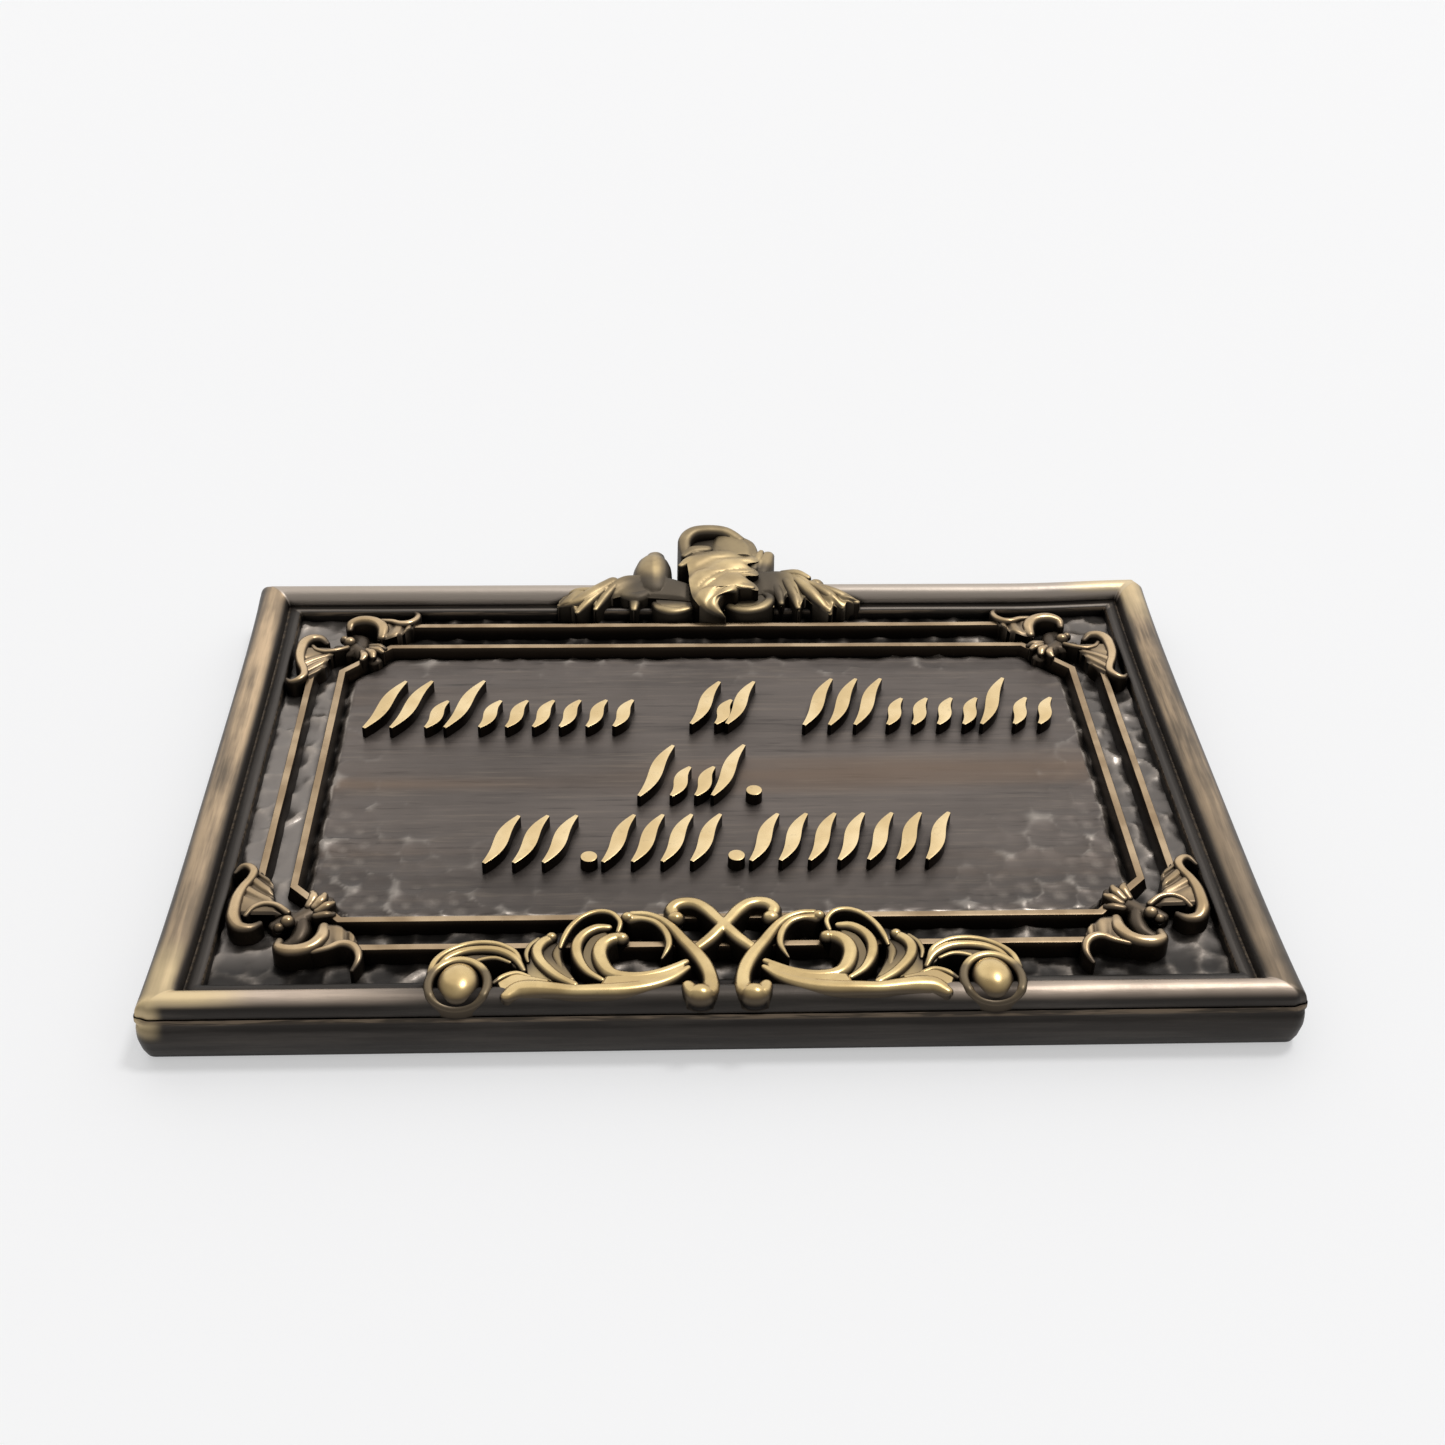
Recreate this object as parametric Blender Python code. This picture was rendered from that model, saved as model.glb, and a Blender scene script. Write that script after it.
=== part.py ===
"""A brass wedding plaque, cast in one piece: a beaded frame round a sunk ground with two raised rails,
acanthus knots at the corners, crossed ribbons with scrolling fronds below, a leaf crest above and a plain
panel with three rows of raised strokes.

The plaque hangs upright by its flat back. In the plan of the drawing, u runs right from the middle, v runs
up from the lower edge and h stands out from the back, all in millimetres.
"""

import math

import bmesh
import bpy
from mathutils import Vector

MM = 0.001

# The frame: its overall size, its side, step, bead and inner fillet
PLAQUE_WIDTH = 120.0
PLAQUE_HEIGHT = 82.5
SIDE_FOOT_INSET = 0.6
SIDE_BELLY_HEIGHT = 2.4
STEP_INSET = 0.25
STEP_HEIGHT = 4.0
BEAD_RADIUS = 1.65
BEAD_INSET = 2.5
BEAD_CENTRE_HEIGHT = 5.1
FILLET_HEIGHT = 5.05
FILLET_WIDTH = 1.6
CORNER_RADIUS = 1.8
SIDE_BOW = 0.6
FAR_CORNER_RISE = 0.9
FAR_CORNER_REACH = 19.0

# The sunk ground, and the panel with its clipped corners
GROUND_HEIGHT = 3.8
GROUND_DRAFT = 0.15
PANEL_RISE = 0.4
PANEL_GAP = 0.55
PANEL_EDGE_SLOPE = 0.3

# The two rails: how far their middle lines lie inside the plaque's edge and each other, and their section
OUTER_RAIL_SIDE_INSET = 9.65
OUTER_RAIL_FOOT_INSET = 10.75
OUTER_RAIL_HEAD_INSET = 9.9
INNER_RAIL_INSET_U = 3.75
INNER_RAIL_INSET_V = 4.6
INNER_RAIL_CLIP = 5.6
RAIL_CROWN = 0.42
RAIL_HALF_WIDTH = 0.8
OUTER_RAIL_RISE = 1.65
INNER_RAIL_RISE = 1.45
RAIL_START = 10.8

OUTER_RAIL_HALF_WIDTH = PLAQUE_WIDTH / 2 - OUTER_RAIL_SIDE_INSET
OUTER_RAIL_BOTTOM = OUTER_RAIL_FOOT_INSET
OUTER_RAIL_TOP = PLAQUE_HEIGHT - OUTER_RAIL_HEAD_INSET
PANEL_HALF_WIDTH = OUTER_RAIL_HALF_WIDTH - INNER_RAIL_INSET_U
PANEL_BOTTOM = OUTER_RAIL_BOTTOM + INNER_RAIL_INSET_V
PANEL_TOP = OUTER_RAIL_TOP - INNER_RAIL_INSET_V

# How wide a strand's crown and root are, as shares of its half width
CROWN_SHARE = 0.62
ROOT_SHARE = 1.1

# The raised strokes of the inscription
STROKE_RISE = 1.5
STROKE_HALF_WIDTH = 0.85
STROKE_SLANT = 0.42

# How deep the ornament is rooted in the plate, and where the crest's back lies
ROOT_HEIGHT = 2.4
CREST_BACK_HEIGHT = 1.2

# How finely curves are cut
STATION_SPACING = 3.2
STROKE_PARTS = 3
DROP_SIDES = 8
BOSS_SLICES = 10
BOSS_BANDS = 5
BEAD_FACETS = 6
CORNER_FACETS = 3
SIDE_PARTS = 3

BRASS_COLOUR = (0.30, 0.22, 0.13, 1.0)


def clear_scene():
    for old in list(bpy.data.objects):
        bpy.data.objects.remove(old, do_unlink=True)


def place(u, v, h):
    """A point of the drawing in the world: the back on y = 0, the front towards -Y, the middle at the origin."""
    return Vector((u, -h, v - PLAQUE_HEIGHT / 2)) * MM


def closed_shell(name, rings, looped=False):
    """A closed solid through rings of points, capped at both ends, or joined end to end when looped."""
    mesh = bmesh.new()
    rows = [[mesh.verts.new(place(*point)) for point in ring] for ring in rings]
    count = len(rows[0])
    last = len(rows) if looped else len(rows) - 1
    for index in range(last):
        here = rows[index]
        there = rows[(index + 1) % len(rows)]
        for side in range(count):
            after = (side + 1) % count
            mesh.faces.new((here[side], here[after], there[after], there[side]))
    if not looped:
        mesh.faces.new(rows[0])
        mesh.faces.new(rows[-1])
    bmesh.ops.recalc_face_normals(mesh, faces=mesh.faces)
    data = bpy.data.meshes.new(name)
    mesh.to_mesh(data)
    mesh.free()
    solid = bpy.data.objects.new(name, data)
    bpy.context.scene.collection.objects.link(solid)
    return solid


# Lines and sections of the raised work


def curve_through(stops, spacing=STATION_SPACING):
    """Stations along a smooth curve through the stops, whose values are u, v, half width and height."""
    stations = []
    for index in range(len(stops) - 1):
        first = Vector(stops[max(index - 1, 0)])
        start = Vector(stops[index])
        end = Vector(stops[index + 1])
        last = Vector(stops[min(index + 2, len(stops) - 1)])
        steps = max(1, math.ceil((end - start).length / spacing))
        for step in range(steps):
            t = step / steps
            stations.append(
                0.5
                * (
                    2 * start
                    + (end - first) * t
                    + (2 * first - 5 * start + 4 * end - last) * t * t
                    + (3 * start - first - 3 * end + last) * t * t * t
                )
            )
    stations.append(Vector(stops[-1]))
    return stations


def strand_section(half, top, foot):
    """A strand's crown on steep sides, as offsets and heights."""
    crown = CROWN_SHARE * half
    root = ROOT_SHARE * half
    return [(-root, foot), (-crown, top), (crown, top), (root, foot)]


def rail_section(half, top, foot):
    """A narrow crown between sloping sides."""
    crown = half * RAIL_CROWN / RAIL_HALF_WIDTH
    return [
        (-half, foot),
        (-half, GROUND_HEIGHT + 0.1),
        (-crown, top),
        (crown, top),
        (half, GROUND_HEIGHT + 0.1),
        (half, foot),
    ]


def flat_section(half, top, foot):
    """A flat top on upright sides with a little draft."""
    return [(-1.1 * half, foot), (-half, top), (half, top), (1.1 * half, foot)]


def sweep(name, stations, section, foot=ROOT_HEIGHT, looped=False):
    """A section carried along the stations, square to the line and mitred where it turns."""
    rings = []
    count = len(stations)
    for index, (u, v, half, top) in enumerate(stations):
        here = Vector((u, v))
        before = Vector(stations[index - 1][:2]) if index or looped else None
        after = Vector(stations[(index + 1) % count][:2]) if index < count - 1 or looped else None
        way_in = (here - before).normalized() if before else (after - here).normalized()
        way_out = (after - here).normalized() if after else way_in
        along = (way_in + way_out).normalized()
        across = Vector((along.y, -along.x))
        mitre = 1 / max(along.dot(way_out), 0.7)
        rings.append(
            [
                (u + across.x * offset * mitre, v + across.y * offset * mitre, height)
                for offset, height in section(half, top, foot)
            ]
        )
    return closed_shell(name, rings, looped)


def ridge(name, stops, foot=ROOT_HEIGHT):
    """A raised strand through the stops."""
    return sweep(name, curve_through(stops), strand_section, foot)


def leaf(name, edges, foot=ROOT_HEIGHT):
    """A leaf's solid between two edges, whose stops give u, v and height."""
    rings = []
    for one, other in zip(*edges):
        rings.append([(one[0], one[1], foot), one, other, (other[0], other[1], foot)])
    return closed_shell(name, rings)


def boss(name, centre, radii):
    """An egg-shaped boss."""
    rings = []
    for band in range(BOSS_BANDS + 1):
        lift = math.pi * (0.04 + 0.92 * band / BOSS_BANDS) - math.pi / 2
        rings.append(
            [
                (
                    centre[0] + radii[0] * math.cos(lift) * math.cos(math.tau * side / BOSS_SLICES),
                    centre[1] + radii[1] * math.cos(lift) * math.sin(math.tau * side / BOSS_SLICES),
                    centre[2] + radii[2] * math.sin(lift),
                )
                for side in range(BOSS_SLICES)
            ]
        )
    return closed_shell(name, rings)


# The plate and its frame


def smooth_step(value):
    value = min(max(value, 0.0), 1.0)
    return value * value * (3 - 2 * value)


def settled(u, v):
    """The casting isn't quite true: its short sides bow in, and the upper right corner is lifted."""
    along = 2 * v / PLAQUE_HEIGHT - 1
    bow = SIDE_BOW * (1 - along**4) * smooth_step(2 * abs(u) / PLAQUE_WIDTH)
    lift = FAR_CORNER_RISE * smooth_step(1 - (PLAQUE_WIDTH / 2 - u) / FAR_CORNER_REACH)
    return u - math.copysign(bow, u), v + lift * smooth_step(along)


def frame_ring(inset, height):
    """The frame's outline at this inset, with rounded corners and points along its sides."""
    radius = max(CORNER_RADIUS - inset, 0.2)
    corners = []
    for right, upper, start in ((1, 0, -90), (1, 1, 0), (-1, 1, 90), (-1, 0, 180)):
        centre_u = right * (PLAQUE_WIDTH / 2 - inset - radius)
        centre_v = PLAQUE_HEIGHT - inset - radius if upper else inset + radius
        for facet in range(CORNER_FACETS + 1):
            angle = math.radians(start + 90 * facet / CORNER_FACETS)
            corners.append((centre_u + radius * math.cos(angle), centre_v + radius * math.sin(angle)))
    ring = []
    for index, (u, v) in enumerate(corners):
        next_u, next_v = corners[(index + 1) % len(corners)]
        parts = SIDE_PARTS if index % (CORNER_FACETS + 1) == CORNER_FACETS else 1
        for part in range(parts):
            share = part / parts
            ring.append((*settled(u + (next_u - u) * share, v + (next_v - v) * share), height))
    return ring


def frame_profile():
    """Inset and height of each edge of the frame, from the back round the bead to the sunk ground."""
    bead_end = BEAD_INSET + BEAD_RADIUS
    fillet_end = bead_end + FILLET_WIDTH
    profile = [
        (SIDE_FOOT_INSET, 0.0),
        (0.0, SIDE_BELLY_HEIGHT),
        (STEP_INSET, STEP_HEIGHT),
    ]
    for facet in range(BEAD_FACETS + 1):
        angle = math.pi * (1 - facet / BEAD_FACETS)
        profile.append(
            (
                BEAD_INSET + BEAD_RADIUS * math.cos(angle),
                BEAD_CENTRE_HEIGHT + BEAD_RADIUS * math.sin(angle),
            )
        )
    profile += [
        (bead_end + 0.15, FILLET_HEIGHT - 0.1),
        (bead_end + 0.35, FILLET_HEIGHT),
        (fillet_end, FILLET_HEIGHT),
        (fillet_end + GROUND_DRAFT, GROUND_HEIGHT),
    ]
    return profile


def make_plate():
    """The back plate with its moulded frame round the sunk ground."""
    return closed_shell("plaque", [frame_ring(inset, height) for inset, height in frame_profile()])


def clipped_rectangle(half_width, bottom, top, clip):
    """Corner points of a rectangle whose corners are cut off at 45 degrees."""
    return [
        (half_width, bottom + clip),
        (half_width, top - clip),
        (half_width - clip, top),
        (-half_width + clip, top),
        (-half_width, top - clip),
        (-half_width, bottom + clip),
        (-half_width + clip, bottom),
        (half_width - clip, bottom),
    ]


def make_panel_and_rails():
    """The raised panel, the closed inner rail round it and the four runs of the outer rail."""
    inner_height = GROUND_HEIGHT + INNER_RAIL_RISE
    inner_line = clipped_rectangle(PANEL_HALF_WIDTH, PANEL_BOTTOM, PANEL_TOP, INNER_RAIL_CLIP)
    solids = [
        sweep(
            "inner rail",
            [(u, v, RAIL_HALF_WIDTH, inner_height) for u, v in inner_line],
            rail_section,
            looped=True,
        )
    ]
    inset = RAIL_HALF_WIDTH + PANEL_GAP
    levels = (
        (inset, ROOT_HEIGHT),
        (inset, GROUND_HEIGHT),
        (inset + PANEL_EDGE_SLOPE, GROUND_HEIGHT + PANEL_RISE),
    )
    solids.append(
        closed_shell(
            "panel",
            [
                [
                    (u, v, height)
                    for u, v in clipped_rectangle(
                        PANEL_HALF_WIDTH - edge, PANEL_BOTTOM + edge, PANEL_TOP - edge, INNER_RAIL_CLIP
                    )
                ]
                for edge, height in levels
            ],
        )
    )
    outer_height = GROUND_HEIGHT + OUTER_RAIL_RISE
    reach = OUTER_RAIL_HALF_WIDTH - RAIL_START
    for v in (OUTER_RAIL_BOTTOM, OUTER_RAIL_TOP):
        line = [(-reach, v, RAIL_HALF_WIDTH, outer_height), (reach, v, RAIL_HALF_WIDTH, outer_height)]
        solids.append(sweep("outer rail across", line, rail_section))
    for u in (-OUTER_RAIL_HALF_WIDTH, OUTER_RAIL_HALF_WIDTH):
        line = [
            (u, OUTER_RAIL_BOTTOM + RAIL_START, RAIL_HALF_WIDTH, outer_height),
            (u, OUTER_RAIL_TOP - RAIL_START, RAIL_HALF_WIDTH, outer_height),
        ]
        solids.append(sweep("outer rail upright", line, rail_section))
    return solids


# Corner knots: a runs along one rail away from the corner, b inwards from it, and each leaf is mirrored
# about the diagonal. The stops give a, b, half width and height.
KNOT_STRANDS = {
    "volute": (
        (3.0, 1.0, 0.45, 5.6),
        (3.4, -0.3, 0.75, 6.1),
        (4.9, -0.8, 0.9, 6.3),
        (6.5, 0.1, 0.95, 6.3),
        (7.2, 1.8, 0.9, 6.3),
        (6.6, 3.4, 0.7, 6.0),
    ),
    "rim": (
        (6.4, -0.4, 0.4, 5.8),
        (8.2, 0.1, 0.45, 6.1),
        (9.9, 0.5, 0.55, 6.2),
        (11.1, -0.5, 0.5, 6.1),
        (11.5, -2.5, 0.25, 5.7),
    ),
    "side lobe": ((6.0, 5.0, 0.6, 5.6), (8.0, 5.2, 0.65, 5.7), (10.0, 4.9, 0.3, 5.2)),
}
KNOT_LEAF_EDGES = (
    ((6.6, 3.4, 5.7), (8.6, 3.0, 5.8), (10.3, 2.0, 5.8), (11.2, 0.5, 5.8), (11.7, -1.6, 5.5)),
    ((6.0, -0.1, 5.7), (8.2, 0.2, 5.6), (9.8, 0.4, 5.6), (10.9, -0.5, 5.6), (11.3, -2.0, 5.4)),
)
KNOT_STEM = ((3.0, 3.0, 0.7, 5.7), (4.6, 4.6, 0.9, 5.9), (6.8, 6.8, 1.2, 5.9), (8.7, 8.1, 0.5, 5.5))


def make_knot(right, upper):
    """One acanthus knot over a corner of the rails: two curled leaves and a stem with a palm."""

    def at_corner(a, b, *rest):
        u = right * (OUTER_RAIL_HALF_WIDTH - a)
        v = OUTER_RAIL_TOP - b if upper else OUTER_RAIL_BOTTOM + b
        return (u, v, *rest)

    solids = []
    for turned in (False, True):
        for name, stops in KNOT_STRANDS.items():
            line = [at_corner(b, a, *rest) if turned else at_corner(a, b, *rest) for a, b, *rest in stops]
            solids.append(ridge(f"knot {name}", line))
        edges = []
        for edge in KNOT_LEAF_EDGES:
            edges.append([at_corner(b, a, h) if turned else at_corner(a, b, h) for a, b, h in edge])
        solids.append(leaf("knot leaf", edges))
    solids.append(ridge("knot stem", [at_corner(*stop) for stop in KNOT_STEM]))
    return solids


# The foot ornament's right half, mirrored to the left. The stops give u, v, half width and height.
FOOT_STRANDS = {
    "crossing ribbon": (
        (4.4, 13.9, 0.55, 6.2),
        (5.3, 14.9, 0.75, 6.5),
        (4.9, 16.2, 0.75, 6.6),
        (3.6, 16.7, 0.7, 6.7),
        (2.1, 16.0, 0.65, 6.7),
        (0.0, 12.9, 0.55, 6.9),
        (-2.5, 9.4, 0.5, 6.6),
    ),
    "long ribbon": (
        (9.2, 15.2, 0.35, 6.3),
        (7.6, 14.8, 0.4, 6.5),
        (5.0, 12.6, 0.55, 6.7),
        (2.5, 8.6, 0.75, 6.8),
        (1.1, 4.2, 0.8, 7.0),
        (1.6, 1.8, 1.05, 7.2),
        (3.0, 1.3, 1.1, 7.2),
        (3.8, 3.3, 0.6, 6.8),
    ),
    "crescent": (
        (9.8, 14.1, 0.7, 6.5),
        (8.4, 14.2, 0.45, 6.5),
        (6.7, 13.0, 0.45, 6.5),
        (5.6, 10.6, 0.5, 6.5),
        (6.1, 8.0, 0.15, 6.0),
    ),
    "thin arch": (
        (10.5, 12.3, 0.25, 6.2),
        (10.6, 13.8, 0.3, 6.4),
        (12.2, 14.7, 0.35, 6.5),
        (14.6, 13.5, 0.4, 6.5),
        (16.0, 10.6, 0.4, 6.5),
        (16.0, 7.6, 0.45, 6.4),
        (14.6, 4.8, 0.3, 6.3),
    ),
    "outer frond": (
        (17.4, 11.5, 0.7, 6.4),
        (18.5, 10.2, 0.6, 6.6),
        (18.3, 7.9, 0.6, 6.7),
        (16.6, 5.4, 0.55, 6.9),
        (14.4, 3.6, 0.45, 7.0),
    ),
    "middle frond": (
        (11.2, 12.7, 0.5, 6.4),
        (12.9, 12.4, 0.5, 6.6),
        (14.5, 9.9, 0.5, 6.6),
        (14.1, 7.0, 0.45, 6.6),
        (12.5, 4.8, 0.3, 6.6),
    ),
    "inner frond": (
        (10.3, 11.1, 0.8, 6.6),
        (11.7, 10.7, 0.8, 6.8),
        (12.3, 8.7, 0.9, 6.9),
        (11.2, 6.3, 0.85, 6.9),
        (8.4, 5.2, 0.6, 6.9),
        (3.6, 7.4, 0.35, 6.6),
    ),
    "long stem": (
        (3.2, 6.7, 0.4, 6.5),
        (5.4, 4.5, 0.8, 6.9),
        (8.6, 2.6, 1.05, 7.3),
        (12.4, 2.1, 1.1, 7.4),
        (16.3, 2.3, 1.1, 7.4),
        (20.2, 2.9, 1.35, 7.4),
        (22.1, 2.2, 1.0, 7.1),
        (22.7, 0.7, 0.4, 6.4),
    ),
    "hood rim": (
        (19.7, 7.3, 0.3, 6.2),
        (21.4, 9.5, 0.45, 6.4),
        (24.3, 10.2, 0.5, 6.5),
        (27.5, 9.1, 0.5, 6.5),
        (29.6, 6.0, 0.4, 6.5),
    ),
    "hood ridge": ((19.9, 6.9, 0.3, 6.2), (21.8, 8.7, 0.5, 6.5), (24.6, 9.0, 0.6, 6.6), (27.9, 7.6, 0.45, 6.5)),
}
# The lower bodies that join the strands: two edges each, whose stops give u, v and height.
FOOT_BODIES = {
    "inner web": (
        ((11.3, 12.2, 6.1), (14.4, 8.9, 6.1), (12.4, 5.2, 6.1)),
        ((10.6, 11.0, 6.1), (12.9, 8.7, 6.1), (10.6, 5.4, 6.1)),
    ),
    "outer web": (
        ((16.1, 11.6, 5.7), (16.3, 7.3, 6.0), (15.0, 5.0, 6.2)),
        ((17.4, 11.4, 5.8), (17.7, 7.2, 6.2), (15.8, 4.6, 6.4)),
    ),
    "back web": (
        ((18.8, 10.4, 5.6), (18.0, 6.8, 6.1), (16.2, 4.6, 6.3)),
        ((19.8, 10.0, 5.3), (18.9, 5.6, 6.0), (17.6, 4.0, 6.3)),
    ),
    "stem web": (
        ((16.8, 4.2, 6.2), (20.8, 5.6, 6.5), (22.5, 4.6, 6.4)),
        ((17.0, 3.0, 6.6), (21.3, 3.0, 6.6), (22.8, 2.2, 6.3)),
    ),
    "hood": (
        ((19.6, 7.1, 6.0), (21.0, 9.3, 6.1), (24.3, 10.2, 6.2), (27.7, 8.9, 6.2), (29.6, 5.6, 6.2)),
        ((20.6, 6.9, 5.8), (22.2, 7.9, 5.9), (24.3, 8.1, 5.9), (26.4, 7.0, 5.9), (28.0, 5.0, 5.9)),
    ),
}
EGG_PLACE = (27.4, 4.05)
EGG_RADII = (2.0, 2.8, 1.5)
EGG_CENTRE_HEIGHT = 6.2
CUP_RADII = (2.6, 3.2)
CUP_HALF_WIDTH = 0.45
CUP_HEIGHT = 6.1
CUP_TILT = 0.6
CUP_STATIONS = 12


def make_foot_ornament(side):
    """Half of the foot ornament: crossing ribbons, fronds on their stem, and an egg in its hooded cup."""
    solids = []
    for name, stops in FOOT_STRANDS.items():
        solids.append(ridge(f"foot {name}", [(side * u, v, half, top) for u, v, half, top in stops]))
    for name, edges in FOOT_BODIES.items():
        solids.append(leaf(f"foot {name}", [[(side * u, v, h) for u, v, h in edge] for edge in edges]))
    egg_u, egg_v = EGG_PLACE
    cup = []
    for index in range(CUP_STATIONS):
        angle = math.tau * index / CUP_STATIONS
        cup.append(
            (
                side * (egg_u + CUP_RADII[0] * math.cos(angle)),
                egg_v + CUP_RADII[1] * math.sin(angle),
                CUP_HALF_WIDTH,
                CUP_HEIGHT + CUP_TILT * math.sin(angle),
            )
        )
    solids.append(sweep("foot cup", cup, strand_section, looped=True))
    solids.append(boss("foot egg", (side * egg_u, egg_v, EGG_CENTRE_HEIGHT), EGG_RADII))
    return solids


# The crest over the far edge. The leaves have two edges each, whose stops give u, v above the plaque's upper
# edge, and height; the strands' stops give u, v above that edge, half width and height.
CREST_LEAVES = {
    "middle leaf": (
        (
            (-2.0, 6.3, 7.9),
            (-3.4, 2.7, 8.2),
            (-2.6, -1.8, 8.3),
            (-2.4, -6.5, 8.1),
            (-1.6, -8.7, 7.6),
            (1.2, -10.7, 6.3),
        ),
        (
            (4.8, 7.9, 7.8),
            (6.6, 3.2, 7.9),
            (6.4, -1.6, 8.1),
            (3.8, -5.6, 8.1),
            (2.3, -8.1, 7.7),
            (2.1, -10.6, 6.4),
        ),
    ),
    "roll's inside": (((-2.2, 5.1, 6.6), (-1.8, 9.2, 6.8)), ((5.0, 5.1, 7.9), (4.0, 9.3, 8.0))),
    "right leaf": (
        ((6.0, 0.5, 7.0), (11.2, 0.5, 7.2), (14.2, -2.5, 7.2), (18.3, -5.3, 7.0), (20.5, -5.8, 6.6)),
        ((6.4, -5.3, 6.5), (9.8, -6.7, 6.6), (14.0, -8.5, 6.7), (18.2, -9.3, 6.6), (20.4, -7.3, 6.4)),
    ),
    "left leaf": (
        ((-3.2, -1.7, 6.8), (-9.8, -0.1, 7.1), (-14.1, -3.0, 7.1), (-17.4, -5.1, 6.9), (-19.7, -7.1, 6.6)),
        ((-3.4, -5.1, 6.3), (-8.6, -6.9, 6.4), (-12.9, -7.5, 6.6), (-17.0, -9.6, 6.5), (-19.4, -8.3, 6.4)),
    ),
    "left scroll's floor": (((-7.0, -1.0, 6.4), (-1.6, -1.0, 6.4)), ((-6.8, -6.3, 5.9), (-1.6, -6.9, 5.9))),
    "right scroll's floor": (((1.6, -1.5, 6.4), (9.0, -1.3, 6.6)), ((2.2, -6.9, 5.9), (9.0, -6.3, 6.1))),
}
CREST_STRANDS = {
    "top roll": (
        (-2.4, 4.3, 0.8, 8.0),
        (-2.5, 7.8, 0.95, 8.6),
        (-0.7, 9.7, 1.05, 9.0),
        (2.6, 9.6, 1.05, 8.8),
        (4.2, 7.4, 0.9, 8.4),
    ),
    "side fold": ((3.8, 8.5, 0.8, 7.9), (5.7, 6.5, 1.0, 8.0), (6.0, 3.6, 0.9, 7.9)),
    "upper tooth": ((2.8, 0.4, 1.3, 8.5), (6.5, 1.2, 0.4, 8.1)),
    "middle tooth": ((2.2, -2.9, 1.3, 8.5), (6.6, -2.1, 0.35, 8.0)),
    "lower tooth": ((1.4, -5.9, 0.9, 8.3), (4.3, -5.0, 0.35, 7.9)),
    "left tooth": ((-1.0, 2.0, 1.0, 8.6), (-3.5, 0.9, 0.4, 8.1)),
    "right lobe": ((7.2, -0.5, 0.9, 7.0), (7.8, 2.7, 1.3, 7.5), (8.5, 5.2, 0.8, 7.4)),
    "right root": ((4.5, -0.7, 1.3, 7.1), (9.8, -0.4, 1.4, 7.6), (12.4, -1.5, 1.2, 7.6)),
    "right scroll": (
        (2.55, -5.3, 0.5, 6.6),
        (3.1, -7.4, 0.75, 6.9),
        (5.2, -8.5, 0.85, 7.1),
        (7.5, -7.5, 0.85, 7.1),
        (8.2, -5.3, 0.65, 7.1),
    ),
    "left scroll": (
        (-6.6, -5.9, 0.5, 6.6),
        (-6.0, -7.7, 0.75, 6.9),
        (-4.3, -8.6, 0.85, 7.0),
        (-2.4, -7.7, 0.6, 6.8),
    ),
    "round leaf": (
        (-6.6, -2.0, 1.8, 7.4),
        (-7.2, 1.5, 2.5, 8.0),
        (-7.2, 4.9, 2.3, 7.9),
        (-6.9, 7.5, 1.1, 7.1),
    ),
    "left root": ((-3.4, -1.9, 1.2, 7.0), (-9.0, -1.1, 1.6, 7.6), (-11.8, -2.1, 1.3, 7.5)),
}
# Fingers of the two side leaves: root u and v, tip u and v with v above the plaque's upper edge, half width
CREST_FINGERS = (
    (9.2, -4.5, 9.9, -7.2, 0.95),
    (11.0, -3.8, 12.0, -8.0, 1.0),
    (13.0, -3.4, 16.2, -9.6, 1.15),
    (14.4, -3.6, 18.3, -8.6, 1.05),
    (15.0, -3.4, 20.1, -6.6, 0.95),
    (-13.6, -3.5, -19.2, -7.8, 1.1),
    (-15.0, -4.9, -18.4, -3.5, 0.55),
    (-13.4, -4.3, -17.1, -9.6, 1.05),
    (-12.6, -4.6, -14.7, -9.2, 0.9),
    (-11.4, -4.2, -11.4, -8.1, 0.9),
    (-9.2, -4.0, -9.2, -7.3, 1.0),
)
FINGER_HEIGHT = 7.6
FINGER_DROP = 0.9
CREST_KNOB = (14.9, -1.6)
CREST_KNOB_HEIGHT = 5.9
CREST_KNOB_RADIUS = 1.25


def make_crest():
    """The acanthus crest that rises over the far edge, its back set a little forward of the plaque's back."""

    def on_edge(u, v, *rest):
        return (u, PLAQUE_HEIGHT + v, *rest)

    solids = []
    for name, edges in CREST_LEAVES.items():
        placed = [[on_edge(*stop) for stop in edge] for edge in edges]
        solids.append(leaf(f"crest {name}", placed, CREST_BACK_HEIGHT))
    for name, stops in CREST_STRANDS.items():
        solids.append(ridge(f"crest {name}", [on_edge(*stop) for stop in stops], CREST_BACK_HEIGHT))
    for root_u, root_v, tip_u, tip_v, half in CREST_FINGERS:
        line = (
            on_edge(root_u, root_v, half, FINGER_HEIGHT),
            on_edge(tip_u, tip_v, 0.4 * half, FINGER_HEIGHT - FINGER_DROP),
        )
        solids.append(sweep("crest finger", line, strand_section, CREST_BACK_HEIGHT))
    radii = (CREST_KNOB_RADIUS, CREST_KNOB_RADIUS, CREST_KNOB_RADIUS)
    solids.append(boss("crest knob", on_edge(*CREST_KNOB, CREST_KNOB_HEIGHT), radii))
    return solids


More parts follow.
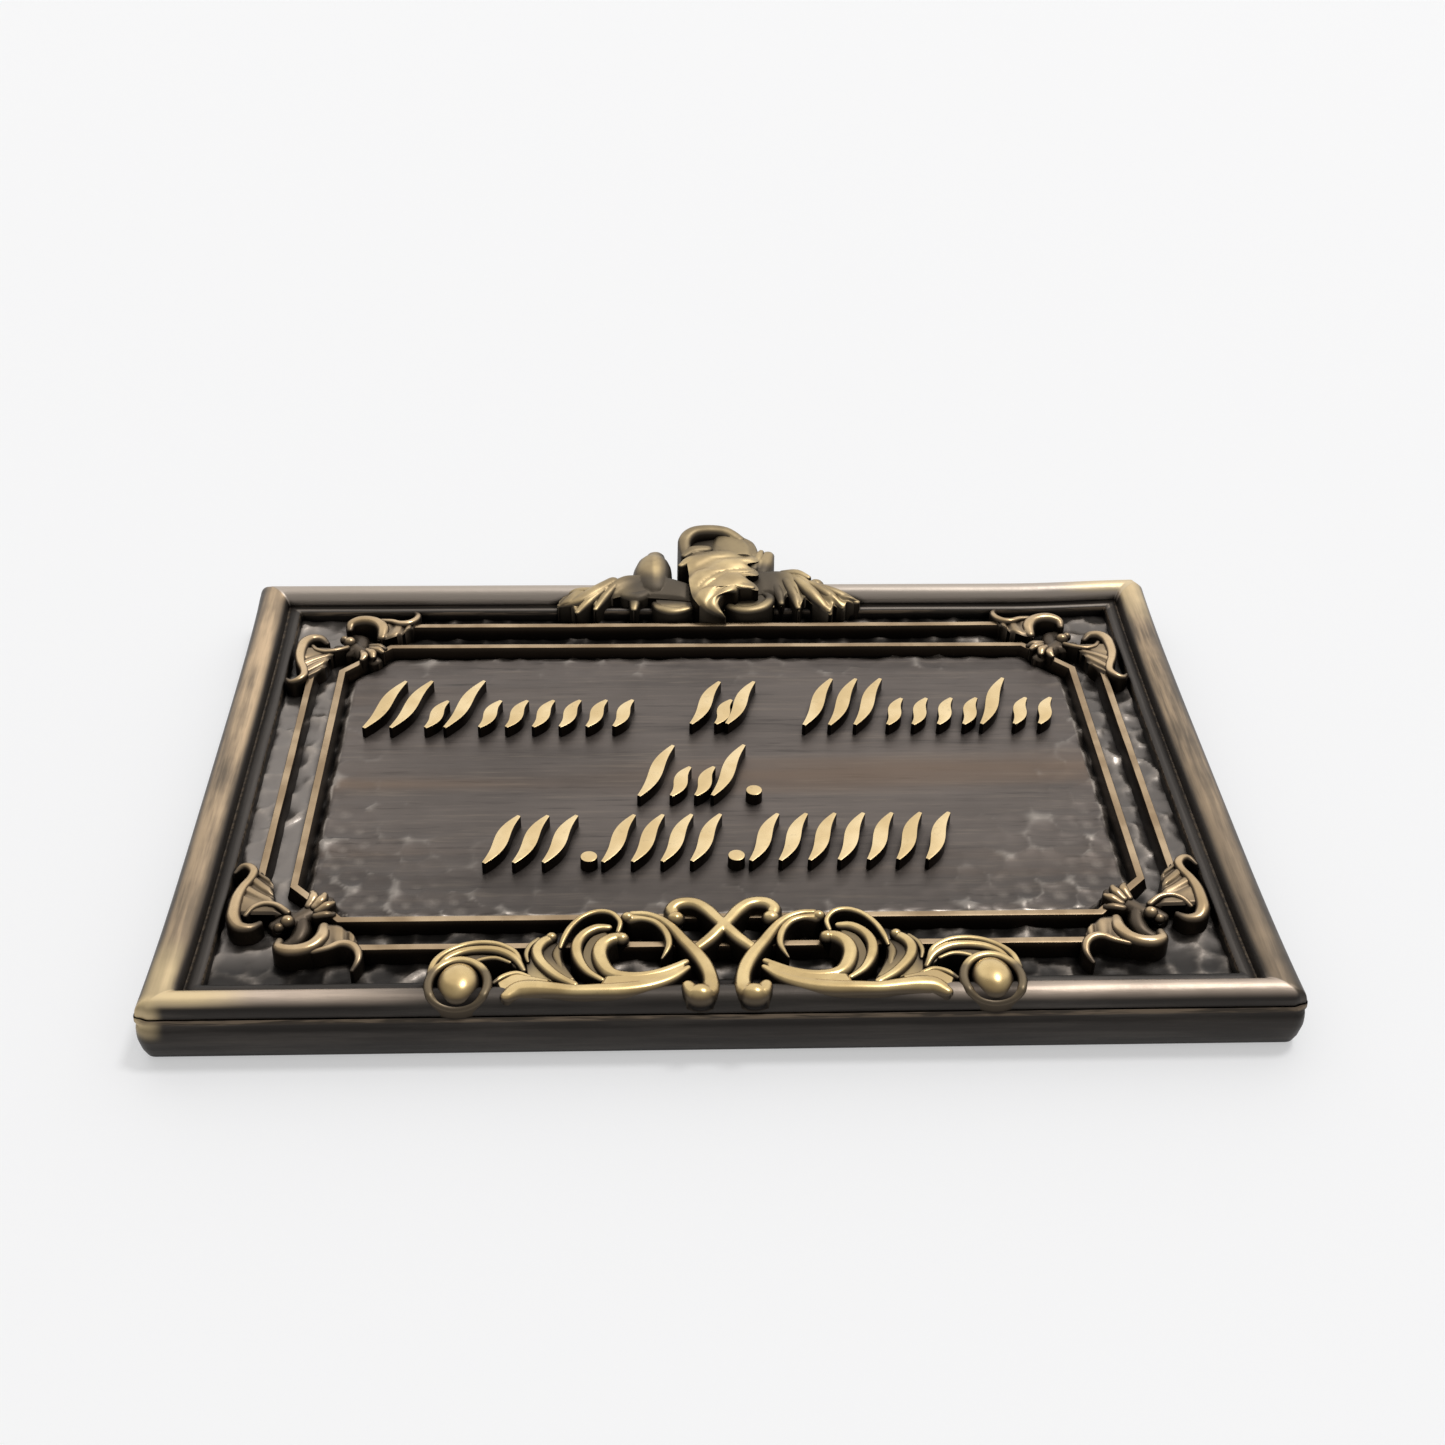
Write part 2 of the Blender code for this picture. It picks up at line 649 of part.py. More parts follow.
# Rows of the inscription: foot line above the panel's middle, full height, where the run starts and ends as
# shares of the panel's half width, and its strokes. T is a tall stroke, S a short one and D a drop.
STROKE_ROWS = (
    (7.9, 9.9, -0.90, -0.20, "TTSTSSSSSS"),
    (8.3, 9.0, -0.04, 0.10, "TST"),
    (7.9, 9.9, 0.25, 0.92, "TTTSSSSTSS"),
    (-5.9, 9.8, -0.18, 0.125, "TSSTD"),
    (-17.7, 8.3, -0.56, 0.57, "TTTDTTTTDTTTTTTT"),
)
SHORT_SHARE = 0.56
DROP_RADIUS = 0.95
STROKE_BEND = 0.3


def make_stroke(u, v, height):
    """One slanted stroke that swells in the middle and bends like a blade of grass."""
    stations = []
    for step in range(STROKE_PARTS + 1):
        share = step / STROKE_PARTS
        swell = 0.28 + 0.72 * math.sin(math.pi * share)
        bend = STROKE_BEND * math.sin(math.tau * share)
        stations.append(
            (
                u + (share - 0.5) * height * STROKE_SLANT + bend,
                v + share * height,
                STROKE_HALF_WIDTH * swell,
                GROUND_HEIGHT + PANEL_RISE + STROKE_RISE,
            )
        )
    return sweep("stroke", stations, flat_section)


def make_drop(u, v):
    """A round drop between strokes."""
    top = GROUND_HEIGHT + PANEL_RISE + STROKE_RISE
    rings = []
    for height, grow in ((ROOT_HEIGHT, 1.06), (top, 1.0)):
        rings.append(
            [
                (
                    u + DROP_RADIUS * grow * math.cos(math.tau * side / DROP_SIDES),
                    v + DROP_RADIUS * grow * math.sin(math.tau * side / DROP_SIDES),
                    height,
                )
                for side in range(DROP_SIDES)
            ]
        )
    return closed_shell("drop", rings)


def make_inscription():
    """Three rows of raised strokes in the place of an inscription."""
    solids = []
    for above_middle, height, start, end, kinds in STROKE_ROWS:
        foot = (PANEL_BOTTOM + PANEL_TOP) / 2 + above_middle
        for index, kind in enumerate(kinds):
            u = PANEL_HALF_WIDTH * (start + (end - start) * (index + 0.5) / len(kinds))
            if kind == "D":
                solids.append(make_drop(u, foot + DROP_RADIUS))
            else:
                solids.append(make_stroke(u, foot, height if kind == "T" else height * SHORT_SHARE))
    return solids


def main():
    clear_scene()
    plaque = make_plate()
    relief = make_panel_and_rails()
    for upper in (False, True):
        for right in (-1, 1):
            relief += make_knot(right, upper)
    for side in (-1, 1):
        relief += make_foot_ornament(side)
    relief += make_crest()
    relief += make_inscription()

    shapes = bpy.data.collections.new("relief shapes")
    bpy.context.scene.collection.children.link(shapes)
    for solid in relief:
        bpy.context.scene.collection.objects.unlink(solid)
        shapes.objects.link(solid)
        solid.hide_render = True
        solid.display_type = "WIRE"
    cast = plaque.modifiers.new("cast in one", "BOOLEAN")
    cast.operation = "UNION"
    cast.operand_type = "COLLECTION"
    cast.collection = shapes

    brass = bpy.data.materials.new("antique brass")
    brass.use_nodes = True
    shader = brass.node_tree.nodes["Principled BSDF"]
    shader.inputs["Base Color"].default_value = BRASS_COLOUR
    shader.inputs["Metallic"].default_value = 1.0
    shader.inputs["Roughness"].default_value = 0.35
    plaque.data.materials.append(brass)


main()
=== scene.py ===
"""A cast brass wedding plaque in antique finish, flat on a pale wall."""

import math

import bpy
import numpy as np
from mathutils import Matrix, Vector


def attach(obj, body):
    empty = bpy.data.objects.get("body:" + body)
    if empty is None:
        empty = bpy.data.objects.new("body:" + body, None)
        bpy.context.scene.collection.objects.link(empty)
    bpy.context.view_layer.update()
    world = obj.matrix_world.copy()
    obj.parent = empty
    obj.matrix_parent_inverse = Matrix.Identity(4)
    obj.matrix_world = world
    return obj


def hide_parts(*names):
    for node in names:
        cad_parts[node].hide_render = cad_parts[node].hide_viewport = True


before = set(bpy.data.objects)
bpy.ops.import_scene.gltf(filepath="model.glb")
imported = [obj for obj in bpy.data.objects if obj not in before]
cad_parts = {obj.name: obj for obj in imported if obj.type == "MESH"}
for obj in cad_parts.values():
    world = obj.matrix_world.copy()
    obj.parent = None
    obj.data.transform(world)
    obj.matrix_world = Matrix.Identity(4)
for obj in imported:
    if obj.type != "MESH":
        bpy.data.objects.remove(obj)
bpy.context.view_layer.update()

# The moulded frame and the back plate. It is the outer part of the one brass casting: a flat back, a
# stepped side and a round bead mitred at the corners, with a narrow flat fillet inside it. The brass is
# darkened all over and then rubbed, so the step, the bead's crown and the corners are lighter, and there the
# lighter tone also serves as a painted highlight. The short sides' outer flanks and foot ends and the bead
# inside the cups' rings are painted darker as shade.
MM = 0.001
PLAQUE_WIDTH = 120.0
PLAQUE_HEIGHT = 82.5
SIDE_BOW = 0.6
FAR_CORNER_RISE = 0.9
FAR_CORNER_START = 41.0
CORNER_RADIUS = 1.8
BEAD_RADIUS = 1.65
BEAD_INSET = 2.5
BEAD_CENTRE_HEIGHT = 5.1
BEAD_INNER_EDGE = 4.4
SIDE_SPREAD = 0.85
SMALLEST_RADIUS = 0.2
STEP_HEIGHT = 4.0
FRAME_WAVER = 0.03
GROUND_HEIGHT = 3.8
SIDE_STEPS = 90
CORNER_STEPS = 6


def smooth_step(low, high, value):
    share = np.clip((np.asarray(value, float) - low) / (high - low), 0.0, 1.0)
    return share * share * (3 - 2 * share)


def waver(length, size, seed):
    """A slow random line of the given number of values between about -size and size."""
    dice = np.random.default_rng(seed)
    places = np.arange(length)
    line = np.zeros(length)
    for turns, share in ((2, 0.4), (5, 0.3), (11, 0.2), (23, 0.1)):
        line += share * np.sin(turns * math.tau * places / length + dice.uniform(0, math.tau))
    return size * line


def make_solid(name, points, faces):
    """A mesh object from points in the drawing's u, v and h, in millimetres, with its faces outward."""
    points = np.asarray(points, float)
    world = np.stack([points[:, 0], -points[:, 2], points[:, 1] - PLAQUE_HEIGHT / 2], 1) * MM
    mesh = bpy.data.meshes.new(name)
    mesh.from_pydata(world.tolist(), [], faces)
    mesh.calc_loop_triangles()
    corners = np.empty(3 * len(mesh.loop_triangles), int)
    mesh.loop_triangles.foreach_get("vertices", corners)
    a, b, c = (world[corners[side::3]] for side in range(3))
    if np.sum(np.cross(a, b) * c) < 0:
        mesh.flip_normals()
    solid = bpy.data.objects.new(name, mesh)
    bpy.context.scene.collection.objects.link(solid)
    return solid


def ring_faces(rings, count, looped):
    """Quads between rings of points, with a cap at each end unless they are looped."""
    faces = []
    for ring in range(rings if looped else rings - 1):
        here = ring * count
        there = (ring + 1) % rings * count
        for side in range(count):
            after = (side + 1) % count
            faces.append((here + side, here + after, there + after, there + side))
    if not looped:
        faces.append(tuple(range(count))[::-1])
        faces.append(tuple(range((rings - 1) * count, rings * count)))
    return faces


def shell(name, rings, looped=False):
    rings = np.asarray(rings, float)
    return make_solid(name, rings.reshape(-1, 3), ring_faces(len(rings), rings.shape[1], looped))


def smooth_over(piece, degrees=40):
    piece.data.shade_smooth()
    piece.data.set_sharp_from_angle(angle=math.radians(degrees))


def settled(u, v):
    """The casting isn't quite true: its short sides bow in, and the upper right corner is lifted."""
    along = 2 * v / PLAQUE_HEIGHT - 1
    bow = SIDE_BOW * (1 - along**4) * smooth_step(0, 1, 2 * np.abs(u) / PLAQUE_WIDTH)
    lift = FAR_CORNER_RISE * smooth_step(FAR_CORNER_START, PLAQUE_WIDTH / 2, u)
    return u - np.sign(u) * bow, v + lift * smooth_step(0, 1, along)


def frame_outline(inset):
    """Points of the frame's outline at this inset, close together along the sides."""
    radius = max(CORNER_RADIUS - inset, SMALLEST_RADIUS)
    corners = []
    for right, upper, start in ((1, 0, -90), (1, 1, 0), (-1, 1, 90), (-1, 0, 180)):
        centre_u = right * (PLAQUE_WIDTH / 2 - inset - radius)
        centre_v = PLAQUE_HEIGHT - inset - radius if upper else inset + radius
        turn = np.radians(start + np.linspace(0, 90, CORNER_STEPS + 1))
        corners.append(np.stack([centre_u + radius * np.cos(turn), centre_v + radius * np.sin(turn)], 1))
    line = []
    for index, corner in enumerate(corners):
        after = corners[(index + 1) % 4][0]
        share = np.linspace(0, 1, SIDE_STEPS + 1)[1:-1, None]
        line += [corner, corner[-1] + (after - corner[-1]) * share]
    line = np.concatenate(line)
    return np.stack(settled(line[:, 0], line[:, 1]), 1)


def frame_profile():
    """Inset and height of the frame's edges, from the back over the step and the bead to the ground."""
    side = [(0.6, 0.0), (0.25, 0.9), (0.02, 2.2), (0.0, 2.6), (0.05, 3.4), (0.14, 3.85), (0.3, STEP_HEIGHT)]
    step = [(0.45, 4.5), (0.6, 4.8), (0.72, 4.87), (0.82, 4.8), (0.9, 4.62)]
    turns = np.radians(np.linspace(199, 6, 22))
    bead_insets = BEAD_INSET + BEAD_RADIUS * np.cos(turns)
    bead = list(zip(bead_insets, BEAD_CENTRE_HEIGHT + BEAD_RADIUS * np.sin(turns)))
    fillet = [(4.22, 4.92), (4.4, 4.9), (4.55, 5.0), (5.1, 5.03), (5.3, 5.12), (5.45, 5.08), (5.72, 5.02)]
    drop_to_ground = [(5.85, 4.85), (5.95, 4.2), (5.97, 3.8), (6.0, 3.2)]
    return side + step + bead + fillet + drop_to_ground


def broadened(outline, inset):
    """The outline with the short sides moved out, where the bead is broader and reaches out to the step."""
    past_side = np.abs(outline[:, 0]) - PLAQUE_WIDTH / 2
    past_end = np.abs(outline[:, 1] - PLAQUE_HEIGHT / 2) - PLAQUE_HEIGHT / 2
    on_short_side = smooth_step(-0.15, 0.15, past_side - past_end)
    spread = SIDE_SPREAD * (1 - inset / BEAD_INNER_EDGE) * on_short_side
    outward = np.sign(outline[:, 0]) * np.minimum(spread, inset - 0.02)
    return np.column_stack([outline[:, 0] + outward, outline[:, 1]])


frame_rings = []
for index, (inset, height) in enumerate(frame_profile()):
    outline = frame_outline(inset)
    raised = np.full(len(outline), height)
    if STEP_HEIGHT < height:
        raised += waver(len(outline), FRAME_WAVER, index // 4)
        if inset < BEAD_INNER_EDGE:
            outline = broadened(outline, inset)
    frame_rings.append(np.column_stack([outline, raised]))
moulded_frame = shell("moulded_frame", frame_rings)
smooth_over(moulded_frame, 50)


class Wire:
    """A socket of a material's nodes, on which sums can be written."""

    def __init__(self, tree, socket):
        self.tree = tree
        self.socket = socket

    def sum_with(self, operation, *others):
        values = {str(place): value for place, value in enumerate((self, *others))}
        return make_node(self.tree, "ShaderNodeMath", {"operation": operation}, **values)

    def __add__(self, other):
        return self.sum_with("ADD", other)

    def __mul__(self, other):
        return self.sum_with("MULTIPLY", other)

    def __sub__(self, other):
        return self.sum_with("SUBTRACT", other)

    def __rsub__(self, other):
        return (self * -1) + other

    __radd__ = __add__
    __rmul__ = __mul__

    def between(self, low, high):
        """0 below low, 1 above high and a smooth step between them."""
        settings = {"interpolation_type": "SMOOTHSTEP"}
        share = {"Value": self, "From Min": low, "From Max": high, "To Min": 0.0, "To Max": 1.0}
        return make_node(self.tree, "ShaderNodeMapRange", settings, **share)

    def held(self):
        return self.sum_with("MINIMUM", 1.0).sum_with("MAXIMUM", 0.0)


def make_node(tree, kind, settings=None, out=0, **inputs):
    """A node with its settings made first and then its sockets, by name or number; gives one output."""
    node = tree.nodes.new(kind)
    for name, value in (settings or {}).items():
        setattr(node, name, value)
    for name, value in inputs.items():
        socket = node.inputs[int(name)] if name.isdigit() else node.inputs[name]
        if isinstance(value, Wire):
            tree.links.new(value.socket, socket)
        else:
            socket.default_value = value
    return Wire(tree, node.outputs[out])


def blend(share, low, high):
    """A colour between two colours."""
    settings = {"data_type": "RGBA"}
    return make_node(share.tree, "ShaderNodeMix", settings, out=2, **{"0": share, "6": low, "7": high})


def noise(place, scale, detail=3.0, rough=0.55):
    shape = {"Scale": scale, "Detail": detail, "Roughness": rough}
    return make_node(place.tree, "ShaderNodeTexNoise", None, Vector=place, **shape)


def split(direction):
    """The three parts of a place or a direction."""
    first = make_node(direction.tree, "ShaderNodeSeparateXYZ", None, Vector=direction)
    return [Wire(direction.tree, socket) for socket in first.socket.node.outputs]


GAP_WIDTH = 1.6


class Brass:
    """The start of a finish: the nodes that say where on the casting a point is, in millimetres."""

    def __init__(self, name):
        self.material = bpy.data.materials.new(name)
        self.material.use_nodes = True
        self.tree = self.material.node_tree
        self.shader = self.tree.nodes["Principled BSDF"]
        self.place = make_node(self.tree, "ShaderNodeTexCoord", out="Object")
        outward = split(make_node(self.tree, "ShaderNodeNewGeometry", out="Normal"))
        self.facing = outward[1] * -1
        x, y, z = split(self.place)
        self.across = x * (1 / MM)
        self.height = y * (-1 / MM)
        self.up = z * (1 / MM)
        self.wide = self.across.sum_with("ABSOLUTE")
        clear_of = {"Distance": GAP_WIDTH * MM}
        self.open = make_node(self.tree, "ShaderNodeAmbientOcclusion", {"samples": 8}, "AO", **clear_of)

    def stretched(self, *shares):
        """The place with its three parts multiplied, which draws noise out where a share is small."""
        return make_node(self.tree, "ShaderNodeMapping", None, Vector=self.place, Scale=shares)

    def paint(self, colour, rough, metal, bump, bump_depth):
        self.tree.links.new(colour.socket, self.shader.inputs["Base Color"])
        self.tree.links.new(rough.socket, self.shader.inputs["Roughness"])
        self.shader.inputs["Metallic"].default_value = metal
        bent = make_node(self.tree, "ShaderNodeBump", None, Strength=1.0, Distance=bump_depth, Height=bump)
        self.tree.links.new(bent.socket, self.shader.inputs["Normal"])
        return self.material


def reach_from(across, above, radii=(1.0, 1.0)):
    """The squared distance from the middle of an ellipse, which is 1 on the ellipse."""
    across = across * (1 / radii[0])
    above = above * (1 / radii[1])
    return across * across + above * above


PATINA_BLACK = (0.008, 0.006, 0.005, 1.0)
PATINA_BROWN = (0.045, 0.032, 0.022, 1.0)
FRAME_DARK = (0.036, 0.032, 0.029, 1.0)
FRAME_SCRATCHED = (0.075, 0.066, 0.058, 1.0)
FRAME_GREY = (0.25, 0.215, 0.185, 1.0)
FRAME_TAN = (0.60, 0.44, 0.28, 1.0)
FRAME_GOLD = (0.78, 0.61, 0.35, 1.0)
FAR_GREY = (0.46, 0.395, 0.335, 1.0)
NEAR_TAN = (0.62, 0.50, 0.40, 1.0)
STEP_TAN = (0.30, 0.225, 0.155, 1.0)
MITRE = (PLAQUE_WIDTH - PLAQUE_HEIGHT) / 2
MITRE_BLUR = 0.2
LONG_SIDES_FROM = 30.0
GOLD_CORNER = (-59.0, -40.5)
WORN_CORNER = (58.0, 39.5)
CUP_PLACE = (27.4, -37.3)
CUP_SHADE_RADII = (3.0, 3.4)


def frame_brass():
    brass = Brass("frame brass")
    cloud = noise(brass.place, 90.0).between(0.3, 0.7)
    grain = noise(brass.place, 900.0, 4.0, 0.7)
    lengthwise = brass.stretched(0.07, 1.0, 1.0)
    upright = brass.stretched(1.0, 1.0, 0.07)
    past_mitre = brass.wide - brass.up.sum_with("ABSOLUTE")
    on_sides = past_mitre.between(MITRE - MITRE_BLUR, MITRE + MITRE_BLUR) * brass.height.between(0.3, 0.6)
    scratch = noise(lengthwise, 700.0, 4.0, 0.6) * (1 - on_sides)
    scratch = scratch + noise(upright, 700.0, 4.0, 0.6) * on_sides
    near_side = brass.up.between(-LONG_SIDES_FROM, -LONG_SIDES_FROM - 1) * (1 - on_sides)
    far_side = brass.up.between(LONG_SIDES_FROM, LONG_SIDES_FROM + 1) * (1 - on_sides)
    crown = brass.height.between(5.9, 6.6) * brass.facing.between(0.45, 0.9)
    broad_crown = brass.height.between(5.7, 6.5) * brass.facing.between(0.3, 0.9)
    worn = (0.12 + scratch.between(0.35, 0.65) * 0.6 + cloud * 0.45).held()

    # Dark all over, with fine scratches along each side. The far side's bead is grey.
    colour = blend((scratch.between(0.4, 0.7) * 0.6).held(), FRAME_DARK, FRAME_SCRATCHED)
    far_bead = far_side * brass.height.between(4.95, 5.3) * (0.8 + scratch * 0.5)
    colour = blend(far_bead.held(), colour, FAR_GREY)
    colour = blend((on_sides * brass.height.between(4.2, 5.4) * 0.14).held(), colour, FRAME_GREY)

    # The short sides' crowns are rubbed to tan, which also stands in as a broad painted highlight; the outer
    # flank and the end towards the foot get less, as painted shade.
    flank = 1 - brass.wide.between(57.9, 59.1) * 0.85
    towards_head = 1 - brass.up.between(14.0, -22.0) * (0.3 + brass.across.between(-1.0, 1.0) * 0.3)
    rubbed_and_highlit_sides = on_sides * broad_crown * (worn + 0.02) * flank * towards_head
    colour = blend(rubbed_and_highlit_sides.held(), colour, FRAME_TAN)

    # The near side is rubbed towards its ends, and two corners are rubbed bright. On the near side and at the
    # lower left corner this tan and gold is also a painted highlight on the bead's crown and edge.
    ends = brass.across.between(-26.0, -44.0) * crown + brass.across.between(14.0, 38.0) * broad_crown
    colour = blend((near_side * (crown * 0.06 + ends * (0.5 + worn * 0.5))).held(), colour, NEAR_TAN)
    left_end = near_side * crown * brass.across.between(-46.0, -56.0)
    colour = blend((left_end * (0.5 + worn * 0.5)).held(), colour, FRAME_GOLD)
    from_gold = reach_from(brass.across - GOLD_CORNER[0], brass.up - GOLD_CORNER[1])
    from_worn = reach_from(brass.across - WORN_CORNER[0], brass.up - WORN_CORNER[1])
    edge = from_gold.between(7.0, 0.2) * brass.height.between(1.6, 4.6)
    gold_corner = (from_gold.between(130.0, 5.0) * crown + edge * edge) * brass.height.between(2.0, 3.2)
    worn_corner = from_worn.between(120.0, 6.0) * broad_crown * 0.8
    colour = blend(((gold_corner + worn_corner) * (0.55 + cloud * 0.45)).held(), colour, FRAME_GOLD)

    # Pale flecks on the step's edge, rubbed brass that also stands in as a painted highlight along the edge.
    # The bead inside the cups' rings is painted black as shade, and every gap stays black with patina.
    step = brass.height.between(4.35, 4.7) * brass.height.between(5.0, 4.9) * brass.open.between(0.4, 0.75)
    flecks = noise(lengthwise, 1500.0, 3.0, 0.7).between(0.42, 0.6)
    colour = blend((step * (0.15 + flecks * 0.55)).held(), colour, STEP_TAN)
    from_cup = reach_from(brass.wide - CUP_PLACE[0], brass.up - CUP_PLACE[1], CUP_SHADE_RADII)
    colour = blend(from_cup.between(1.15, 0.85) * 0.85, colour, PATINA_BLACK)
    colour = blend(brass.open.between(0.8, 0.4), colour, PATINA_BLACK)
    rough = 0.34 + grain * 0.14 + scratch * 0.1
    return brass.paint(colour, rough, 0.9, grain * 0.5 + scratch * 1.5, 0.00003)


moulded_frame.data.materials.append(frame_brass())
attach(moulded_frame, "root")
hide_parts("plaque")

# The sunk ground inside the frame, and the raised panel in its middle. Both are cast with the plaque. The
# ground and the panel's edges were struck with a small round hammer before the mould was made; the panel's
# middle was brushed flat, along its length.
GROUND_REACH_U = 55.6
GROUND_FROM = 4.4
GROUND_TO = 78.9
GRID = 0.4
PANEL_RISE = 0.4
INNER_RAIL_HALF = 46.6
INNER_RAIL_BOTTOM = 15.35
INNER_RAIL_TOP = 68.0
INNER_RAIL_CLIP = 5.6
PANEL_INSET = 1.35
MARK_SIZE = 3.0
SMALL_MARK_SIZE = 1.7
HIGHEST_MARK = 4.6
GROUND_FOOT = 2.6


def struck(u, v, size, seed):
    """Round hammer marks: the squared distance to the nearest mark, in marks, and a value for each mark."""
    dice = np.random.default_rng(seed)
    table = dice.uniform(0.1, 0.9, (256, 256, 3))
    column = np.floor(u / size).astype(int)
    row = np.floor(v / size).astype(int)
    nearest = np.full(u.shape, 9.0)
    tone = np.zeros(u.shape)
    for aside in (-1, 0, 1):
        for above in (-1, 0, 1):
            mark = table[(column + aside) % 256, (row + above) % 256]
            off_u = column + aside + mark[..., 0] - u / size
            off_v = row + above + mark[..., 1] - v / size
            apart = off_u**2 + off_v**2
            closer = apart < nearest
            nearest = np.where(closer, apart, nearest)
            tone = np.where(closer, mark[..., 2], tone)
    return nearest, tone


def inside_clipped(u, v, half, bottom, top, clip):
    """How far a point is inside a rectangle with clipped corners, less than zero outside."""
    middle = (bottom + top) / 2
    to_side = half - np.abs(u)
    to_end = (top - bottom) / 2 - np.abs(v - middle)
    return np.minimum(np.minimum(to_side, to_end), (to_side + to_end - clip) / math.sqrt(2))


def standing(name, top, foot):
    """A body under a grid of points, with straight walls down to a flat foot."""
    columns, rows = top.shape[:2]
    number = np.arange(columns * rows).reshape(columns, rows)
    quads = np.stack([number[:-1, :-1], number[1:, :-1], number[1:, 1:], number[:-1, 1:]], -1)
    rim = np.concatenate([number[:, 0], number[-1, 1:], number[-2::-1, -1], number[0, -2:0:-1]])
    below = top.reshape(-1, 3)[rim] * (1, 1, 0) + (0, 0, foot)
    low = columns * rows + np.arange(len(rim))
    walls = np.stack([rim, low, np.roll(low, -1), np.roll(rim, -1)], 1)
    points = np.concatenate([top.reshape(-1, 3), below])
    return make_solid(name, points, quads.reshape(-1, 4).tolist() + walls.tolist() + [low[::-1].tolist()])


columns = int(2 * GROUND_REACH_U / GRID) + 1
rows = int((GROUND_TO - GROUND_FROM) / GRID) + 1
across_grid = np.linspace(-GROUND_REACH_U, GROUND_REACH_U, columns)
grid_u, grid_v = np.meshgrid(across_grid, np.linspace(GROUND_FROM, GROUND_TO, rows), indexing="ij")
inside = inside_clipped(grid_u, grid_v, INNER_RAIL_HALF, INNER_RAIL_BOTTOM, INNER_RAIL_TOP, INNER_RAIL_CLIP)
marks, mark_tone = struck(grid_u + PLAQUE_WIDTH / 2, grid_v, MARK_SIZE, 4)
small_marks = struck(grid_u + PLAQUE_WIDTH / 2, grid_v, SMALL_MARK_SIZE, 9)[0]
ragged = 0.35 * np.sin(grid_v * 1.9 + 2 * np.sin(grid_u * 0.7))
ragged += 0.3 * np.sin(grid_u * 1.6 + np.sin(grid_v))
on_panel = smooth_step(PANEL_INSET - 0.25, PANEL_INSET + 0.3, inside - 0.25 * ragged)
edge_band = smooth_step(9.0, 2.0, inside + 3.0 * ragged)
corner_band = smooth_step(26, 8, np.hypot(np.abs(grid_u) - 44, grid_v - 20))
struck_panel = np.clip(0.55 * edge_band + 0.7 * corner_band, 0, 1)
ground_level = GROUND_HEIGHT - 0.25 + 0.55 * marks * (0.5 + mark_tone) + 0.16 * small_marks
panel_level = GROUND_HEIGHT + PANEL_RISE + struck_panel * (0.65 * marks * (0.4 + mark_tone) - 0.16)
level = ground_level * (1 - on_panel) + panel_level * on_panel
level = np.minimum(level, HIGHEST_MARK)
ground = standing("ground_and_panel", np.stack([grid_u, grid_v, level], -1), GROUND_FOOT)
ground.data.shade_smooth()


GROUND_BLACK = (0.038, 0.034, 0.031, 1)
GROUND_SHEEN = (0.22, 0.195, 0.175, 1)
RIDGE_GREY = (0.36, 0.31, 0.265, 1)
PANEL_DARK = (0.030, 0.026, 0.024, 1)
PANEL_BROWN = (0.16, 0.134, 0.118, 1)
PANEL_STREAK = (0.22, 0.18, 0.145, 1)
PANEL_SHADE = (0.035, 0.031, 0.028, 1)
PANEL_COPPER = (0.165, 0.108, 0.07, 1)
PANEL_RIDGE = (0.36, 0.32, 0.28, 1)
PANEL_EDGE = 1.6


def ground_brass():
    brass = Brass("ground and panel brass")
    inside_u = INNER_RAIL_HALF - PANEL_EDGE - brass.wide
    middle = (INNER_RAIL_BOTTOM + INNER_RAIL_TOP - PLAQUE_HEIGHT) / 2
    half_length = (INNER_RAIL_TOP - INNER_RAIL_BOTTOM) / 2 - PANEL_EDGE
    inside_v = half_length - (brass.up - middle).sum_with("ABSOLUTE")
    panel = inside_u.between(0.0, 0.3) * inside_v.between(0.0, 0.3) * brass.height.between(3.95, 4.1)
    brushed = brass.stretched(0.055, 1.0, 1.0)
    streak = noise(brushed, 1500.0, 4.0, 0.65)
    broad = noise(brushed, 260.0, 3.0, 0.6)
    cloud = noise(brass.place, 60.0, 3.0)
    fine = noise(brass.place, 1100.0, 4.0, 0.7)

    # The ground is near black, with a painted sheen in the strips at both sides, stronger on the left, and
    # paler ridges in between.
    strips = brass.wide.between(46.5, 48.0) * brass.up.between(-33.0, -27.0)
    sheen = strips * (0.55 + brass.across.between(0.0, -1.0) * 0.45)
    ridge = brass.height.between(3.62, 4.0) * (0.55 + fine.between(0.3, 0.7) * 0.45)
    ground_tone = blend(ridge.held(), blend(sheen, GROUND_BLACK, GROUND_SHEEN), RIDGE_GREY)

    # The panel is brushed brown and darker towards the foot, with coppery patches and paler edges.
    tone = (0.25 + broad * 0.5 + cloud * 0.35).held()
    panel_tone = blend(tone.between(0.2, 0.9), PANEL_DARK, PANEL_BROWN)
    panel_tone = blend((streak.between(0.5, 0.75) * 0.45).held(), panel_tone, PANEL_STREAK)
    panel_tone = blend((streak.between(0.45, 0.25) * 0.5).held(), panel_tone, PANEL_DARK)
    panel_tone = blend(brass.up.between(-8.0, -24.0) * 0.4, panel_tone, PANEL_SHADE)
    patch = noise(brushed, 120.0, 2.0, 0.5).between(0.5, 0.72)
    panel_tone = blend((patch * 0.6).held(), panel_tone, PANEL_COPPER)
    panel_tone = blend((brass.height.between(4.2, 4.42) * 0.6).held(), panel_tone, PANEL_RIDGE)

    colour = blend(panel, ground_tone, panel_tone)
    colour = blend(brass.open.between(0.75, 0.3), colour, PATINA_BLACK)
    rough = 0.24 + fine * 0.12 + panel * 0.1
    return brass.paint(colour, rough, 0.9, streak * panel + fine * (1 - panel), 0.000012)


ground.data.materials.append(ground_brass())
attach(ground, "root")
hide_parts("plaque")

